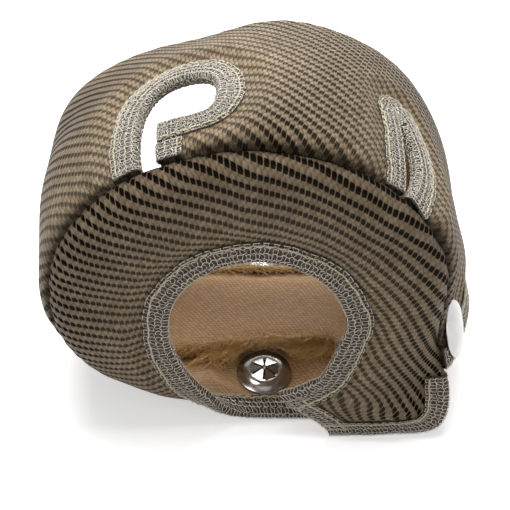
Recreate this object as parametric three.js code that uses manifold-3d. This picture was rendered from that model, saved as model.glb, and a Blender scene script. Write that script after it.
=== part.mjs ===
// Turbo heat blanket: a soft insulating jacket that wraps the turbine side of a turbocharger.
// It is a C-shaped channel of front wall, band and rear wall. Its left end, the tail, lies
// opened out flat, as the jacket lies before it is laced round a turbine housing.
// Every wall is a sandwich of outer cloth, needled mat and lining cloth. Knitted wire tape
// binds the free edges, and lacing anchors with locking washers pin the ends.
//
// Millimetres, +Z up. The front wall faces -Y, and the turbine axis runs along Y.
import * as THREE from 'three';
import { mergeVertices } from 'three/addons/utils/BufferGeometryUtils.js';
import Module from 'manifold-3d';

const wasm = await Module();
wasm.setup();

// Driving dimensions of the drum
const FRONT_HALF_WIDTH = 100;
const FRONT_SHIFT = 3;
const FRONT_RISE = 95;
const SEAM_CENTRE_Z = 80;
const FRONT_SEAM_Y = 8;
const REAR_HALF_WIDTH = 99;
const REAR_RISE = 92;
const REAR_SHIFT = 3;
const REAR_SEAM_Y = 126;
const REAR_FACE_Y = 134;
const ROLL_ANGLE = 50;
const BAND_ROLL = 16;
const BAND_BULGE = 0.12;
const TOP_DENT = 7;
const TOP_DENT_ANGLE = 112;
const TOP_DENT_WIDTH = 18;

// Openings in the front and rear walls
const OPENING_RADIUS = 46;
const OPENING_CENTRE_Z = 73;
const REAR_OPENING_RADIUS = 65;
const REAR_OPENING_CENTRE_Z = 88;

// Right flap of the front wall, which stands on the table
const FLAP_TOP_Z = 43;
const FLAP_LEAN = 2;
const FLAP_BASE_Z = 1.1;
const SLIT_TIP_ANGLE = -75;
const SLIT_FOOT_X = 38;
const FLAP_CORNER_ROUND = 8;
const REAR_END_Z = 40;

// Tail, opened out flat on the table
const TAIL_START_X = -36;
const TAIL_END_X = 63;
const TAIL_LIFT = 8;
const TAIL_EDGE_LIFT = 3.6;
const TAIL_FRONT_EDGE_Y = 7.5;
const TAIL_FRONT_SEAM_Y = 51;
const TAIL_REAR_SEAM_Y = 116;
const TAIL_REAR_EDGE_Y = 161;

// Layers of the wall
const COVER = 1.2;
const LINING = 0.8;
const LAYER_GAP = 0.3;
const HALF_EDGE = 2.2;
const HALF_WALL = 6;
const HALF_SEAM = 3.2;
const INNER_SEAM = 4;
const TAIL_UNDERSIDE = 3.6;
const PUFF_RISE = 14;
const SEAM_RISE = 16;

// Edge tape and overlocked seam allowance
const TAPE_WIDTH = 12;
const TAPE = 0.7;
const TAPE_FOLD = 0.7;
const TAPE_GAP = 0.7;
const CORNER_INSET = 2.5;
const ALLOWANCE_HEIGHT = 6;
const ALLOWANCE_THICK = 1.6;
const ALLOWANCE_CLEARANCE = 1;
const PANEL_GAP = 0.35;

// Lacing anchors and their locking washers
const DISC_RADIUS = 15;
const DISC_THICK = 1;
const DISC_CROWN = 1;
const PIN_RADIUS = 1.4;
const PIN_CLEARANCE = 0.4;
const WASHER_RADIUS = 15;
const WASHER_THICK = 0.8;
const WASHER_HEIGHT = 3;
const WASHER_HOLE = 6;
const PRONGS = 6;
const PRONG_RISE = 1.6;
const PIN_TIP = 1.5;
const ROUND_SIDES = 18;
const ANCHOR_DIMPLE = 24;
const CURVED_WALL_LIFT = 2.4;

// Stations along the ring: the flap is negative, the drum starts at 0, the tail ends last
const FLAP_STATIONS = 3;
const DRUM_STATIONS = 10;
const TURN_STATIONS = 4;
const FIRST = -FLAP_STATIONS;
const TURN = DRUM_STATIONS;
const TAIL = TURN + TURN_STATIONS;
const LAST = TAIL + 2;

// Wastegate notch and pipe slot, measured on the flat band from its right end and the front seam
const NOTCH_U = 253;
const NOTCH_LEG = 12;
const NOTCH_REACH = 41;
const NOTCH_DEPTH = 61;
const TAB_DEPTH = 24;
const NOTCH_START = 1.5;
const SLOT_U = 121;
const SLOT_WIDTH = 5;
const SLOT_DEPTH = 54;
const SLOT_SLANT = 5;

// Places of the anchors: from the seams, from the right end and along the tail
const ANCHOR_INSET = 17;
const FRONT_ANCHOR_INSET = 15.5;
const END_ANCHOR_INSET = 14.5;
const TAIL_ANCHOR_K = TAIL + 0.73;

// Fineness of the mesh and the length of the cutters
const FINE_STEP = 0.34;
const COARSE_STEP = 0.62;
const OUTLINE_STEP = 8;
const RING_SAMPLES = 160;
const GRID_ALLOWANCE = 9;
const TAPE_LINE = TAPE_WIDTH + 1;
const OVERCUT = 8;
const CUT_DEPTH = 24;

const BACK = new THREE.Vector3(0, 1, 0);
const point = (x, y, z) => new THREE.Vector3(x, y, z);
const radians = THREE.MathUtils.degToRad;
const ease = (x) => THREE.MathUtils.smoothstep(x, 0, 1);
const mix = THREE.MathUtils.lerp;
const range = (from, to, steps) => Array.from({ length: steps + 1 }, (_, i) => mix(from, to, i / steps));

// A point on the opening of the front wall, by its angle from the right
function openingPoint(degrees, y = 0) {
  const a = radians(degrees);
  return point(OPENING_RADIUS * Math.cos(a), y, OPENING_CENTRE_Z + OPENING_RADIUS * Math.sin(a));
}

// One station of the path that turns under the left side and runs out flat as the tail
function turnUnder(left, tail, share, fullness) {
  const q = share * Math.PI / 2;
  const slow = 1 - Math.cos(q);
  const drop = (1 - fullness) * slow + fullness * Math.sin(q);
  const back = ease(share * TURN_STATIONS / (TURN_STATIONS + 1.5));
  return point(mix(left.x, tail.x, slow ** 1.2), mix(left.y, tail.y, back), mix(left.z, tail.z, drop));
}

// The four long lines of the jacket, as points at the stations:
// front edge, front seam, rear seam and rear edge
function stationLines() {
  const frontEdge = [];
  const frontSeam = [];
  const rearSeam = [];
  const rearEdge = [];
  const endSine = (FLAP_TOP_Z - OPENING_CENTRE_Z) / OPENING_RADIUS;
  const endAngle = THREE.MathUtils.radToDeg(Math.asin(endSine));
  for (let i = 0; i < FLAP_STATIONS; i += 1) {
    frontEdge.push(openingPoint(mix(SLIT_TIP_ANGLE, endAngle, i / FLAP_STATIONS), -FLAP_LEAN));
  }
  frontSeam.push(point(SLIT_FOOT_X, -FLAP_LEAN, FLAP_BASE_Z));
  frontSeam.push(point((SLIT_FOOT_X + FRONT_HALF_WIDTH) / 2, -FLAP_LEAN, FLAP_BASE_Z + 1));
  frontSeam.push(point(FRONT_HALF_WIDTH - FLAP_CORNER_ROUND / 2, -FLAP_LEAN, FLAP_BASE_Z + FLAP_CORNER_ROUND));
  frontEdge.push(openingPoint(endAngle, -FLAP_LEAN));
  frontSeam.push(point(FRONT_HALF_WIDTH + 2, FRONT_SEAM_Y - FLAP_LEAN, FLAP_TOP_Z));
  rearSeam.push(point(REAR_HALF_WIDTH - REAR_SHIFT, REAR_SEAM_Y - FLAP_LEAN, REAR_END_Z));
  rearEdge.push(point(REAR_OPENING_RADIUS - REAR_SHIFT - 8, REAR_FACE_Y - FLAP_LEAN, REAR_END_Z + 10));
  for (let i = 0; i < DRUM_STATIONS; i += 1) {
    const degrees = 180 * i / (DRUM_STATIONS - 1);
    const c = Math.cos(radians(degrees));
    const s = Math.sin(radians(degrees));
    const dent = TOP_DENT * Math.exp(-(((degrees - TOP_DENT_ANGLE) / TOP_DENT_WIDTH) ** 2));
    frontEdge.push(openingPoint(degrees));
    frontSeam.push(point(FRONT_HALF_WIDTH * c - FRONT_SHIFT, FRONT_SEAM_Y, SEAM_CENTRE_Z + FRONT_RISE * s));
    const rearX = (REAR_HALF_WIDTH - dent) * c - REAR_SHIFT;
    const rearZ = SEAM_CENTRE_Z + (REAR_RISE - dent) * s;
    const edgeX = REAR_OPENING_RADIUS * c - REAR_SHIFT;
    const edgeZ = REAR_OPENING_CENTRE_Z + REAR_OPENING_RADIUS * s;
    rearSeam.push(point(rearX, REAR_SEAM_Y, rearZ));
    rearEdge.push(point(edgeX, REAR_FACE_Y, edgeZ));
  }
  const lines = [
    [frontEdge, TAIL_FRONT_EDGE_Y, TAIL_EDGE_LIFT, TAIL_START_X / 3, 0.5, TAIL_EDGE_LIFT],
    [frontSeam, TAIL_FRONT_SEAM_Y, TAIL_LIFT, TAIL_START_X, 1.05, 0],
    [rearSeam, TAIL_REAR_SEAM_Y, TAIL_LIFT, TAIL_START_X, 1.05, 0],
    [rearEdge, TAIL_REAR_EDGE_Y, TAIL_EDGE_LIFT, TAIL_START_X / 2, 0.8, TAIL_EDGE_LIFT],
  ];
  for (const [line, y, z, startX, fullness, settling] of lines) {
    const left = line[line.length - 1];
    const tail = point(startX, y, z + settling);
    for (let i = 1; i <= TURN_STATIONS; i += 1) {
      line.push(turnUnder(left, tail, i / TURN_STATIONS, fullness));
    }
    line.push(point((startX + TAIL_END_X) / 2, y, z));
    line.push(point(TAIL_END_X, y, z));
  }
  return { frontEdge, frontSeam, rearSeam, rearEdge };
}

const lines = stationLines();
const smooth = (points) => new THREE.CatmullRomCurve3(points, false, 'catmullrom', 0.5);
const curves = {
  frontEdge: smooth(lines.frontEdge),
  frontSeam: smooth(lines.frontSeam),
  rearSeam: smooth(lines.rearSeam),
  rearEdge: smooth(lines.rearEdge),
};

// A point of one of the long lines at station k
function along(name, k) {
  const first = name.startsWith('front') ? FIRST : 0;
  return curves[name].getPoint(THREE.MathUtils.clamp((k - first) / (LAST - first), 0, 1));
}

// The outward direction square to a seam, in the plane of the turbine axis' cross section
function outward(name, k) {
  const step = 0.05;
  const ahead = along(name, Math.min(k + step, LAST));
  const tangent = ahead.sub(along(name, Math.max(k - step, name.startsWith('front') ? FIRST : 0)));
  return BACK.clone().cross(tangent).normalize();
}

// How far the channel is opened out: 0 on the drum, 1 on the flat tail
const opened = (k) => ease((k - TURN - 1) / TURN_STATIONS);

// The direction of the wall across a seam, from front to rear
function acrossSeam(name, k) {
  const flapShare = ease((k + 0.4) / 1.6);
  const roll = radians(ROLL_ANGLE) * flapShare;
  const side = name === 'frontSeam' ? 1 : -1;
  const rolled = outward(name, k).multiplyScalar(side * Math.cos(roll));
  rolled.addScaledVector(BACK, Math.sin(roll));
  return rolled.lerp(BACK, opened(k)).normalize();
}

// The cross section of one panel at station k, from its front to its rear side
const sectionCache = new Map();
function section(panel, k) {
  const key = `${panel} ${k.toFixed(5)}`;
  if (sectionCache.has(key)) {
    return sectionCache.get(key);
  }
  const flat = opened(k);
  const ends = {
    front: ['frontEdge', 'frontSeam'],
    band: ['frontSeam', 'rearSeam'],
    rear: ['rearSeam', 'rearEdge'],
  }[panel];
  const from = along(ends[0], k);
  const to = along(ends[1], k);
  const span = to.clone().sub(from);
  const length = span.length();
  const level = span.clone().multiply(point(1, 0, 1)).normalize();
  const wall = level.lerp(span.clone().normalize(), flat).normalize();
  const near = from.clone();
  const far = to.clone();
  if (panel === 'front') {
    near.addScaledVector(wall, length * 0.42);
    far.addScaledVector(acrossSeam('frontSeam', k), -length * 0.22);
  } else if (panel === 'band') {
    const reach = mix(BAND_ROLL, length * 0.3, flat);
    near.addScaledVector(acrossSeam('frontSeam', k), reach);
    near.addScaledVector(BACK, length * BAND_BULGE * (1 - flat));
    far.addScaledVector(acrossSeam('rearSeam', k), -reach);
    far.addScaledVector(BACK, -length * BAND_BULGE * (1 - flat));
  } else {
    near.addScaledVector(acrossSeam('rearSeam', k), length * 0.3);
    far.addScaledVector(wall, -length * 0.35);
  }
  const curve = new THREE.CubicBezierCurve3(from, near, far, to);
  curve.arcLengthDivisions = 24;
  const made = { curve, length: curve.getLength() };
  sectionCache.set(key, made);
  return made;
}

// A point of a panel's middle surface, at the distance d from the panel's front side
function onPanel(panel, d, k) {
  const { curve, length } = section(panel, k);
  if (d < 0) {
    return curve.getPoint(0).addScaledVector(curve.getTangent(0), d);
  }
  if (d > length) {
    return curve.getPoint(1).addScaledVector(curve.getTangent(1), d - length);
  }
  return curve.getPointAt(d / length);
}

const firstStation = (panel) => (panel === 'front' ? FIRST : 0);
const panelLength = (panel, k) => section(panel, k).length;

function surfaceNormal(panel, d, k) {
  const length = panelLength(panel, k);
  const step = 0.4;
  const turn = 0.03;
  const low = THREE.MathUtils.clamp(d - step, 0, length - 2 * step);
  const across = onPanel(panel, low + 2 * step, k).sub(onPanel(panel, low, k));
  const share = THREE.MathUtils.clamp(d / length, 0, 1);
  const k0 = Math.max(k - turn, firstStation(panel));
  const k1 = Math.min(k + turn, LAST);
  const ahead = onPanel(panel, share * panelLength(panel, k1), k1);
  const ring = ahead.sub(onPanel(panel, share * panelLength(panel, k0), k0));
  return across.cross(ring).normalize();
}

// At a seam the panels share the normal that halves the angle between them
function panelNormal(panel, d, k) {
  const length = panelLength(panel, k);
  const reach = PANEL_GAP + 0.01;
  const normal = surfaceNormal(panel, d, k);
  if (k >= 0 && panel !== 'rear' && d > length - reach) {
    const next = panel === 'front' ? 'band' : 'rear';
    return normal.add(surfaceNormal(next, 0, k)).normalize();
  }
  if (panel !== 'front' && d < reach) {
    const before = panel === 'rear' ? 'band' : 'front';
    return normal.add(surfaceNormal(before, panelLength(before, k), k)).normalize();
  }
  return normal;
}

// Place of a point that lies w outside the middle surface
function place(panel, d, k, w) {
  return onPanel(panel, d, k).addScaledVector(panelNormal(panel, d, k), w);
}

// The band laid flat: u runs along the ring from the right end, v from the front seam
const ringLength = [0];
for (let i = 1; i <= RING_SAMPLES; i += 1) {
  const k = LAST * i / RING_SAMPLES;
  const before = LAST * (i - 1) / RING_SAMPLES;
  const step = onPanel('band', 50, k).distanceTo(onPanel('band', 50, before));
  ringLength.push(ringLength[i - 1] + step);
}
function stationAt(u) {
  let i = 1;
  while (i < RING_SAMPLES && ringLength[i] < u) {
    i += 1;
  }
  const share = (u - ringLength[i - 1]) / (ringLength[i] - ringLength[i - 1]);
  return LAST * (i - 1 + share) / RING_SAMPLES;
}
function lengthAt(k) {
  const x = THREE.MathUtils.clamp(k / LAST * RING_SAMPLES, 0, RING_SAMPLES - 1e-6);
  const i = Math.floor(x);
  return mix(ringLength[i], ringLength[i + 1], x - i);
}

// An outline on the flat band: straight and bent runs, then cut into short steps
function outline(points, bends) {
  const path = new THREE.Path();
  path.moveTo(points[0][0], points[0][1]);
  for (let i = 1; i < points.length; i += 1) {
    if (bends[i]) {
      path.quadraticCurveTo(points[i][0], points[i][1], points[i + 1][0], points[i + 1][1]);
      i += 1;
    } else {
      path.lineTo(points[i][0], points[i][1]);
    }
  }
  const coarse = path.getPoints(5).filter((p, i, all) => i === 0 || p.distanceTo(all[i - 1]) > 0.01);
  const fine = [coarse[0]];
  for (const p of coarse.slice(1)) {
    const from = fine[fine.length - 1];
    const steps = Math.ceil(p.distanceTo(from) / OUTLINE_STEP);
    fine.push(...range(0, 1, steps).slice(1).map((share) => from.clone().lerp(p, share)));
  }
  return fine;
}

// From the seam up the left of the leg, round the lobe and back to the tab's corner
const legLeft = NOTCH_U + NOTCH_LEG / 2;
const legRight = NOTCH_U - NOTCH_LEG / 2;
const lobeEnd = NOTCH_U - NOTCH_REACH + NOTCH_LEG / 2;
const lobeMiddle = (legLeft + lobeEnd) / 2;
const notchEdge = outline([
  [legLeft, NOTCH_START], [legLeft, TAB_DEPTH * 0.5],
  [legLeft, NOTCH_DEPTH], [lobeMiddle, NOTCH_DEPTH],
  [lobeEnd, NOTCH_DEPTH], [lobeEnd, (NOTCH_DEPTH + TAB_DEPTH) / 2],
  [lobeEnd, TAB_DEPTH], [lobeEnd + NOTCH_LEG, TAB_DEPTH],
  [legRight, TAB_DEPTH],
], { 2: true, 4: true, 6: true });
const tabEdge = outline([[legRight, TAB_DEPTH - TAPE_WIDTH - 1], [legRight, NOTCH_START]], {});
const slotRadius = SLOT_WIDTH / 2;
const slotEdge = outline([
  [SLOT_U + slotRadius, NOTCH_START], [SLOT_U + SLOT_SLANT + slotRadius, SLOT_DEPTH - slotRadius],
  [SLOT_U + SLOT_SLANT + slotRadius, SLOT_DEPTH], [SLOT_U + SLOT_SLANT, SLOT_DEPTH],
  [SLOT_U + SLOT_SLANT - slotRadius, SLOT_DEPTH], [SLOT_U + SLOT_SLANT - slotRadius, SLOT_DEPTH - slotRadius],
  [SLOT_U - slotRadius, NOTCH_START],
], { 2: true, 4: true });

// The same outline, run out past the seam so that the hole is open there
function openToSeam(edge) {
  const first = edge[0];
  const last = edge[edge.length - 1];
  return [...edge, new THREE.Vector2(last.x, -OVERCUT), new THREE.Vector2(first.x, -OVERCUT)];
}
const notchHole = openToSeam(notchEdge);
const slotHole = openToSeam(slotEdge);

// Lacing anchors: panel, inset from its front side, or from its rear side where negative, and station
const frontEndK = stationAt(END_ANCHOR_INSET);
const rearEndK = stationAt(ANCHOR_INSET);
const anchors = [
  { name: 'front_right', panel: 'band', inset: FRONT_ANCHOR_INSET, k: frontEndK, lift: CURVED_WALL_LIFT },
  { name: 'rear_right', panel: 'band', inset: -ANCHOR_INSET, k: rearEndK, lift: CURVED_WALL_LIFT },
  { name: 'front_tail', panel: 'front', inset: -ANCHOR_INSET, k: TAIL_ANCHOR_K, lift: 0 },
  { name: 'rear_tail', panel: 'rear', inset: ANCHOR_INSET, k: TAIL_ANCHOR_K, lift: 0 },
];
for (const anchor of anchors) {
  anchor.at = anchor.inset > 0 ? anchor.inset : panelLength(anchor.panel, anchor.k) + anchor.inset;
  anchor.centre = onPanel(anchor.panel, anchor.at, anchor.k);
  anchor.axis = panelNormal(anchor.panel, anchor.at, anchor.k);
}

function distanceToPath(u, v, path) {
  let best = Infinity;
  const here = new THREE.Vector2(u, v);
  for (let i = 1; i < path.length; i += 1) {
    const side = path[i].clone().sub(path[i - 1]);
    const share = THREE.MathUtils.clamp(here.clone().sub(path[i - 1]).dot(side) / side.lengthSq(), 0, 1);
    best = Math.min(best, here.distanceTo(path[i - 1].clone().addScaledVector(side, share)));
  }
  return best;
}

// Distance from a place on a panel to its nearest bound edge
function edgeDistance(panel, d, k) {
  const here = onPanel(panel, d, k);
  const length = panelLength(panel, k);
  const endPoint = (end) => onPanel(panel, d / length * panelLength(panel, end), end);
  let best = Math.min(here.distanceTo(endPoint(LAST)), here.distanceTo(endPoint(firstStation(panel))));
  if (panel === 'front') {
    best = Math.min(best, d, k < 0 ? length - d : Infinity);
  } else if (panel === 'rear') {
    best = Math.min(best, length - d);
  } else {
    const u = lengthAt(k);
    const holes = [notchEdge, tabEdge, slotEdge].map((edge) => distanceToPath(u, d, edge) - GRID_ALLOWANCE);
    best = Math.min(best, ...holes);
  }
  return best;
}

function seamDistance(panel, d, k) {
  const length = panelLength(panel, k);
  if (panel === 'front') {
    return k < 0 ? Infinity : length - d;
  }
  return panel === 'rear' ? d : Math.min(d, length - d);
}

// Half thickness of the wall towards the outside and the inside
function halves(panel, d, k) {
  const puff = ease((edgeDistance(panel, d, k) - TAPE_WIDTH) / PUFF_RISE);
  const here = onPanel(panel, d, k);
  let pinned = 1;
  for (const anchor of anchors) {
    pinned = Math.min(pinned, ease((here.distanceTo(anchor.centre) - ANCHOR_DIMPLE) / PUFF_RISE));
  }
  const full = Math.min(mix(HALF_EDGE, HALF_WALL, puff), mix(HALF_EDGE, HALF_WALL, pinned));
  const seam = ease(seamDistance(panel, d, k) / SEAM_RISE);
  const outer = Math.min(full, mix(HALF_SEAM, HALF_WALL, seam));
  const inner = Math.min(full, mix(INNER_SEAM, HALF_WALL, seam));
  return { outer: mix(outer, Math.min(outer, TAIL_UNDERSIDE), opened(k)), inner };
}

// A closed solid from rows of points; each row is a closed loop, and the two ends are capped.
// The second half of a loop faces the first, and its quads are split to match, so that layers nest
function solidFromLoops(loops, capTriangles) {
  const count = loops[0].length;
  const positions = [];
  const index = [];
  for (const loop of loops) {
    for (const p of loop) {
      positions.push(p.x, p.y, p.z);
    }
  }
  for (let i = 0; i + 1 < loops.length; i += 1) {
    for (let j = 0; j < count; j += 1) {
      const a = i * count + j;
      const b = i * count + (j + 1) % count;
      if (j < count / 2) {
        index.push(a, b, b + count, a, b + count, a + count);
      } else {
        index.push(a, b, a + count, b, b + count, a + count);
      }
    }
  }
  const lastLoop = (loops.length - 1) * count;
  for (const [a, b, c] of capTriangles) {
    index.push(a, c, b, lastLoop + a, lastLoop + b, lastLoop + c);
  }
  const geometry = new THREE.BufferGeometry();
  geometry.setAttribute('position', new THREE.Float32BufferAttribute(positions, 3));
  geometry.setIndex(index);
  return facingOut(geometry);
}

function signedVolume(geometry) {
  const p = geometry.getAttribute('position');
  const index = geometry.getIndex();
  const [a, b, c] = [new THREE.Vector3(), new THREE.Vector3(), new THREE.Vector3()];
  let volume = 0;
  for (let i = 0; i < index.count; i += 3) {
    a.fromBufferAttribute(p, index.getX(i));
    b.fromBufferAttribute(p, index.getX(i + 1));
    c.fromBufferAttribute(p, index.getX(i + 2));
    volume += a.dot(b.cross(c)) / 6;
  }
  return volume;
}

function facingOut(geometry) {
  if (signedVolume(geometry) < 0) {
    const index = Array.from(geometry.getIndex().array);
    for (let i = 0; i < index.length; i += 3) {
      [index[i + 1], index[i + 2]] = [index[i + 2], index[i + 1]];
    }
    geometry.setIndex(index);
  }
  return geometry;
}

function stripCaps(columns) {
  const triangles = [];
  const total = 2 * columns;
  for (let j = 0; j + 1 < columns; j += 1) {
    triangles.push([j, j + 1, total - 2 - j], [j, total - 2 - j, total - 1 - j]);
  }
  return triangles;
}

function toManifold(geometry) {
  const merged = geometry.clone();
  for (const name of Object.keys(merged.attributes)) {
    if (name !== 'position') {
      merged.deleteAttribute(name);
    }
  }
  const welded = mergeVertices(merged, 1e-5);
  return new wasm.Manifold(new wasm.Mesh({
    numProp: 3,
    vertProperties: new Float32Array(welded.getAttribute('position').array),
    triVerts: new Uint32Array(welded.getIndex().array),
  }));
}

function fromManifold(solid) {
  const mesh = solid.getMesh();
  const geometry = new THREE.BufferGeometry();
  const positions = [];
  for (let i = 0; i < mesh.numVert; i += 1) {
    for (let j = 0; j < 3; j += 1) {
      positions.push(mesh.vertProperties[i * mesh.numProp + j]);
    }
  }
  geometry.setAttribute('position', new THREE.Float32BufferAttribute(positions, 3));
  geometry.setIndex(Array.from(mesh.triVerts));
  return geometry;
}

// Stations of the mesh: close together round the notch and the slot
function meshStations(panel) {
  const found = panel === 'front' ? range(FIRST, -0.2, 8) : [];
  const near = (k, u) => Math.abs(lengthAt(k) - u) < 46;
  const endStep = TAPE_LINE / (TAIL_END_X - TAIL_START_X) * 2;
  found.push(0);
  let k = stationAt(TAPE_LINE);
  while (k < LAST - endStep - 0.1) {
    found.push(k);
    const fine = near(k, NOTCH_U - NOTCH_REACH / 2) || near(k, SLOT_U);
    k += fine ? FINE_STEP : COARSE_STEP;
  }
  return [...found, LAST - endStep, LAST];
}

// Columns of the mesh, as distances from the panel's front side. Tapes need one just past them
function columns(panel, length) {
  if (panel === 'front') {
    return [0, ...range(TAPE_LINE, length - TAPE_LINE, 3), length];
  }
  if (panel === 'rear') {
    return [0, ...range(SEAM_RISE / 2, length - TAPE_LINE, 3), length];
  }
  const rise = Math.min(SEAM_RISE, length / 4);
  return [0, rise / 2, ...range(rise, length - rise, 5), length - rise / 2, length];
}

// One layer of a panel between two offsets from the middle surface
function layer(panel, offsets) {
  const loops = meshStations(panel).map((k) => {
    const length = panelLength(panel, k);
    const low = [];
    const high = [];
    for (const column of columns(panel, length)) {
      const from = panel === 'front' ? 0 : PANEL_GAP;
      const to = panel === 'rear' || k < 0 ? length : length - PANEL_GAP;
      const d = THREE.MathUtils.clamp(column, from, to);
      const [inside, outside] = offsets(halves(panel, d, k));
      low.push(place(panel, d, k, inside));
      high.push(place(panel, d, k, outside));
    }
    return [...high, ...low.reverse()];
  });
  return solidFromLoops(loops, stripCaps(loops[0].length / 2));
}
const coverOffsets = ({ outer }) => [outer - COVER, outer];
const matOffsets = ({ outer, inner }) => [-inner + LINING + LAYER_GAP, outer - COVER - LAYER_GAP];
const liningOffsets = ({ inner }) => [-inner, -inner + LINING];

// A prism through the band, with the outline of a hole on the flat band
function bandCutter(hole) {
  const caps = THREE.ShapeUtils.triangulateShape(hole, []);
  const loops = [-CUT_DEPTH, CUT_DEPTH].map((w) => hole.map((p) => place('band', p.y, stationAt(p.x), w)));
  return toManifold(solidFromLoops(loops, caps));
}

function pinHole(anchor) {
  const length = 2 * CUT_DEPTH;
  const geometry = new THREE.CylinderGeometry(PIN_RADIUS + PIN_CLEARANCE, PIN_RADIUS + PIN_CLEARANCE, length, 8);
  return toManifold(geometry.applyMatrix4(anchorMatrix(anchor)));
}

// Places an anchor's own frame, with Y along the pin and outwards, on the wall
function anchorMatrix(anchor) {
  const turn = new THREE.Quaternion().setFromUnitVectors(BACK, anchor.axis);
  return new THREE.Matrix4().compose(anchor.centre, turn, new THREE.Vector3(1, 1, 1));
}

// A swept strip: each station gives the place of a point of the section (d, w)
function sweep(profile, stations) {
  const flat = profile.map(([d, w]) => new THREE.Vector2(d, w));
  const caps = THREE.ShapeUtils.triangulateShape(flat, []);
  return solidFromLoops(stations.map((at) => profile.map(([d, w]) => at(d, w))), caps);
}

// Section of the folded tape: d inwards from the edge, w across the wall
const legInside = HALF_EDGE + TAPE_GAP;
const legOutside = legInside + TAPE;
const tapeProfile = [
  [TAPE_WIDTH, legOutside], [0, legOutside], [-LAYER_GAP - TAPE_FOLD, HALF_EDGE],
  [-LAYER_GAP - TAPE_FOLD, -HALF_EDGE], [0, -legOutside], [TAPE_WIDTH, -legOutside],
  [TAPE_WIDTH, -legInside], [-LAYER_GAP, -legInside], [-LAYER_GAP, legInside], [TAPE_WIDTH, legInside],
];

// Ways to follow a free edge: along the front or rear side of a panel, along its end, or round a hole
const alongFront = (panel, k) => (d, w) => place(panel, d, k, w);
const alongRear = (panel, k) => (d, w) => place(panel, panelLength(panel, k) - d, k, w);
function alongEnd(panel, end, share) {
  const side = end === LAST ? -1 : 1;
  const at = (k, w) => place(panel, share * panelLength(panel, k), k, w);
  const stride = at(end, 0).distanceTo(at(end + side * 0.3, 0)) / 0.3;
  return (d, w) => {
    const p = at(end + side * Math.max(d, 0) / stride, w);
    if (d < 0) {
      const inside = at(end + side * 0.1, w);
      p.addScaledVector(p.clone().sub(inside).normalize(), -d);
    }
    return p;
  };
}
function endTape(panel, end, startInset, endInset) {
  const length = panelLength(panel, end);
  const stops = columns(panel, length).filter((d) => d > startInset && d < length - endInset);
  return [startInset, ...stops, length - endInset].map((d) => alongEnd(panel, end, d / length));
}
function roundHole(edge) {
  return edge.map((p, i) => {
    const before = edge[Math.max(i - 1, 0)];
    const after = edge[Math.min(i + 1, edge.length - 1)];
    const t = after.clone().sub(before).normalize();
    const inwards = new THREE.Vector2(-t.y, t.x);
    return (d, w) => {
      const q = p.clone().addScaledVector(inwards, -d);
      return place('band', q.y, stationAt(q.x), w);
    };
  });
}

// Stations of the tapes on the long edges are the mesh's own, so that both keep to the same chords
const frontStations = meshStations('front');
const ringStations = meshStations('band');
const frontEdgeTape = frontStations.map((k) => alongFront('front', k));
const flapTape = frontStations.filter((k) => k < 0).map((k) => alongRear('front', k));
const slitTape = endTape('front', FIRST, TAPE_LINE, TAPE_LINE);
const rearEdgeTape = ringStations.map((k) => alongRear('rear', k));
const bandEndTape = endTape('band', 0, CORNER_INSET, CORNER_INSET);
const rearEndTape = endTape('rear', 0, CORNER_INSET, TAPE_LINE);
const tailTapes = {
  tail_front_end: endTape('front', LAST, TAPE_LINE, 1),
  tail_band_end: endTape('band', LAST, 1, 1),
  tail_rear_end: endTape('rear', LAST, 1, TAPE_LINE),
};

// The overlocked raw edges of two lining panels, standing inwards along a seam
function allowance(panel, side) {
  const stations = ringStations.filter((k) => k > 0.4 && k < LAST - 0.4);
  const profile = [
    [-ALLOWANCE_THICK / 2, 0], [ALLOWANCE_THICK / 2, 0],
    [ALLOWANCE_THICK / 2, ALLOWANCE_HEIGHT], [-ALLOWANCE_THICK / 2, ALLOWANCE_HEIGHT],
  ];
  return sweep(profile, stations.map((k) => {
    const length = panelLength(panel, k);
    const d = side === 'front' ? 0 : length;
    const axis = panelNormal(panel, d, k);
    const foot = onPanel(panel, d, k).addScaledVector(axis, -INNER_SEAM - ALLOWANCE_CLEARANCE);
    const across = section(panel, k).curve.getTangent(side === 'front' ? 0 : 1);
    across.addScaledVector(axis, -across.dot(axis)).normalize();
    return (x, y) => foot.clone().addScaledVector(across, x).addScaledVector(axis, -y);
  }));
}

// Lacing anchor: a crowned disc with its pin, in a frame with Y outwards along the pin
function anchorGeometry(lift) {
  const seat = legOutside + LAYER_GAP;
  const top = seat + DISC_THICK;
  const tip = -(seat + lift + WASHER_HEIGHT + PIN_TIP);
  const profile = [
    [0, tip], [PIN_RADIUS * 0.6, tip], [PIN_RADIUS, tip + 1], [PIN_RADIUS, seat],
    [DISC_RADIUS - 0.5, seat], [DISC_RADIUS, seat + DISC_THICK / 2], [DISC_RADIUS - 1, top],
    [DISC_RADIUS * 0.5, top + DISC_CROWN], [0, top + DISC_CROWN],
  ];
  return new THREE.LatheGeometry(profile.map(([r, y]) => new THREE.Vector2(r, y)), ROUND_SIDES);
}

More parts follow.
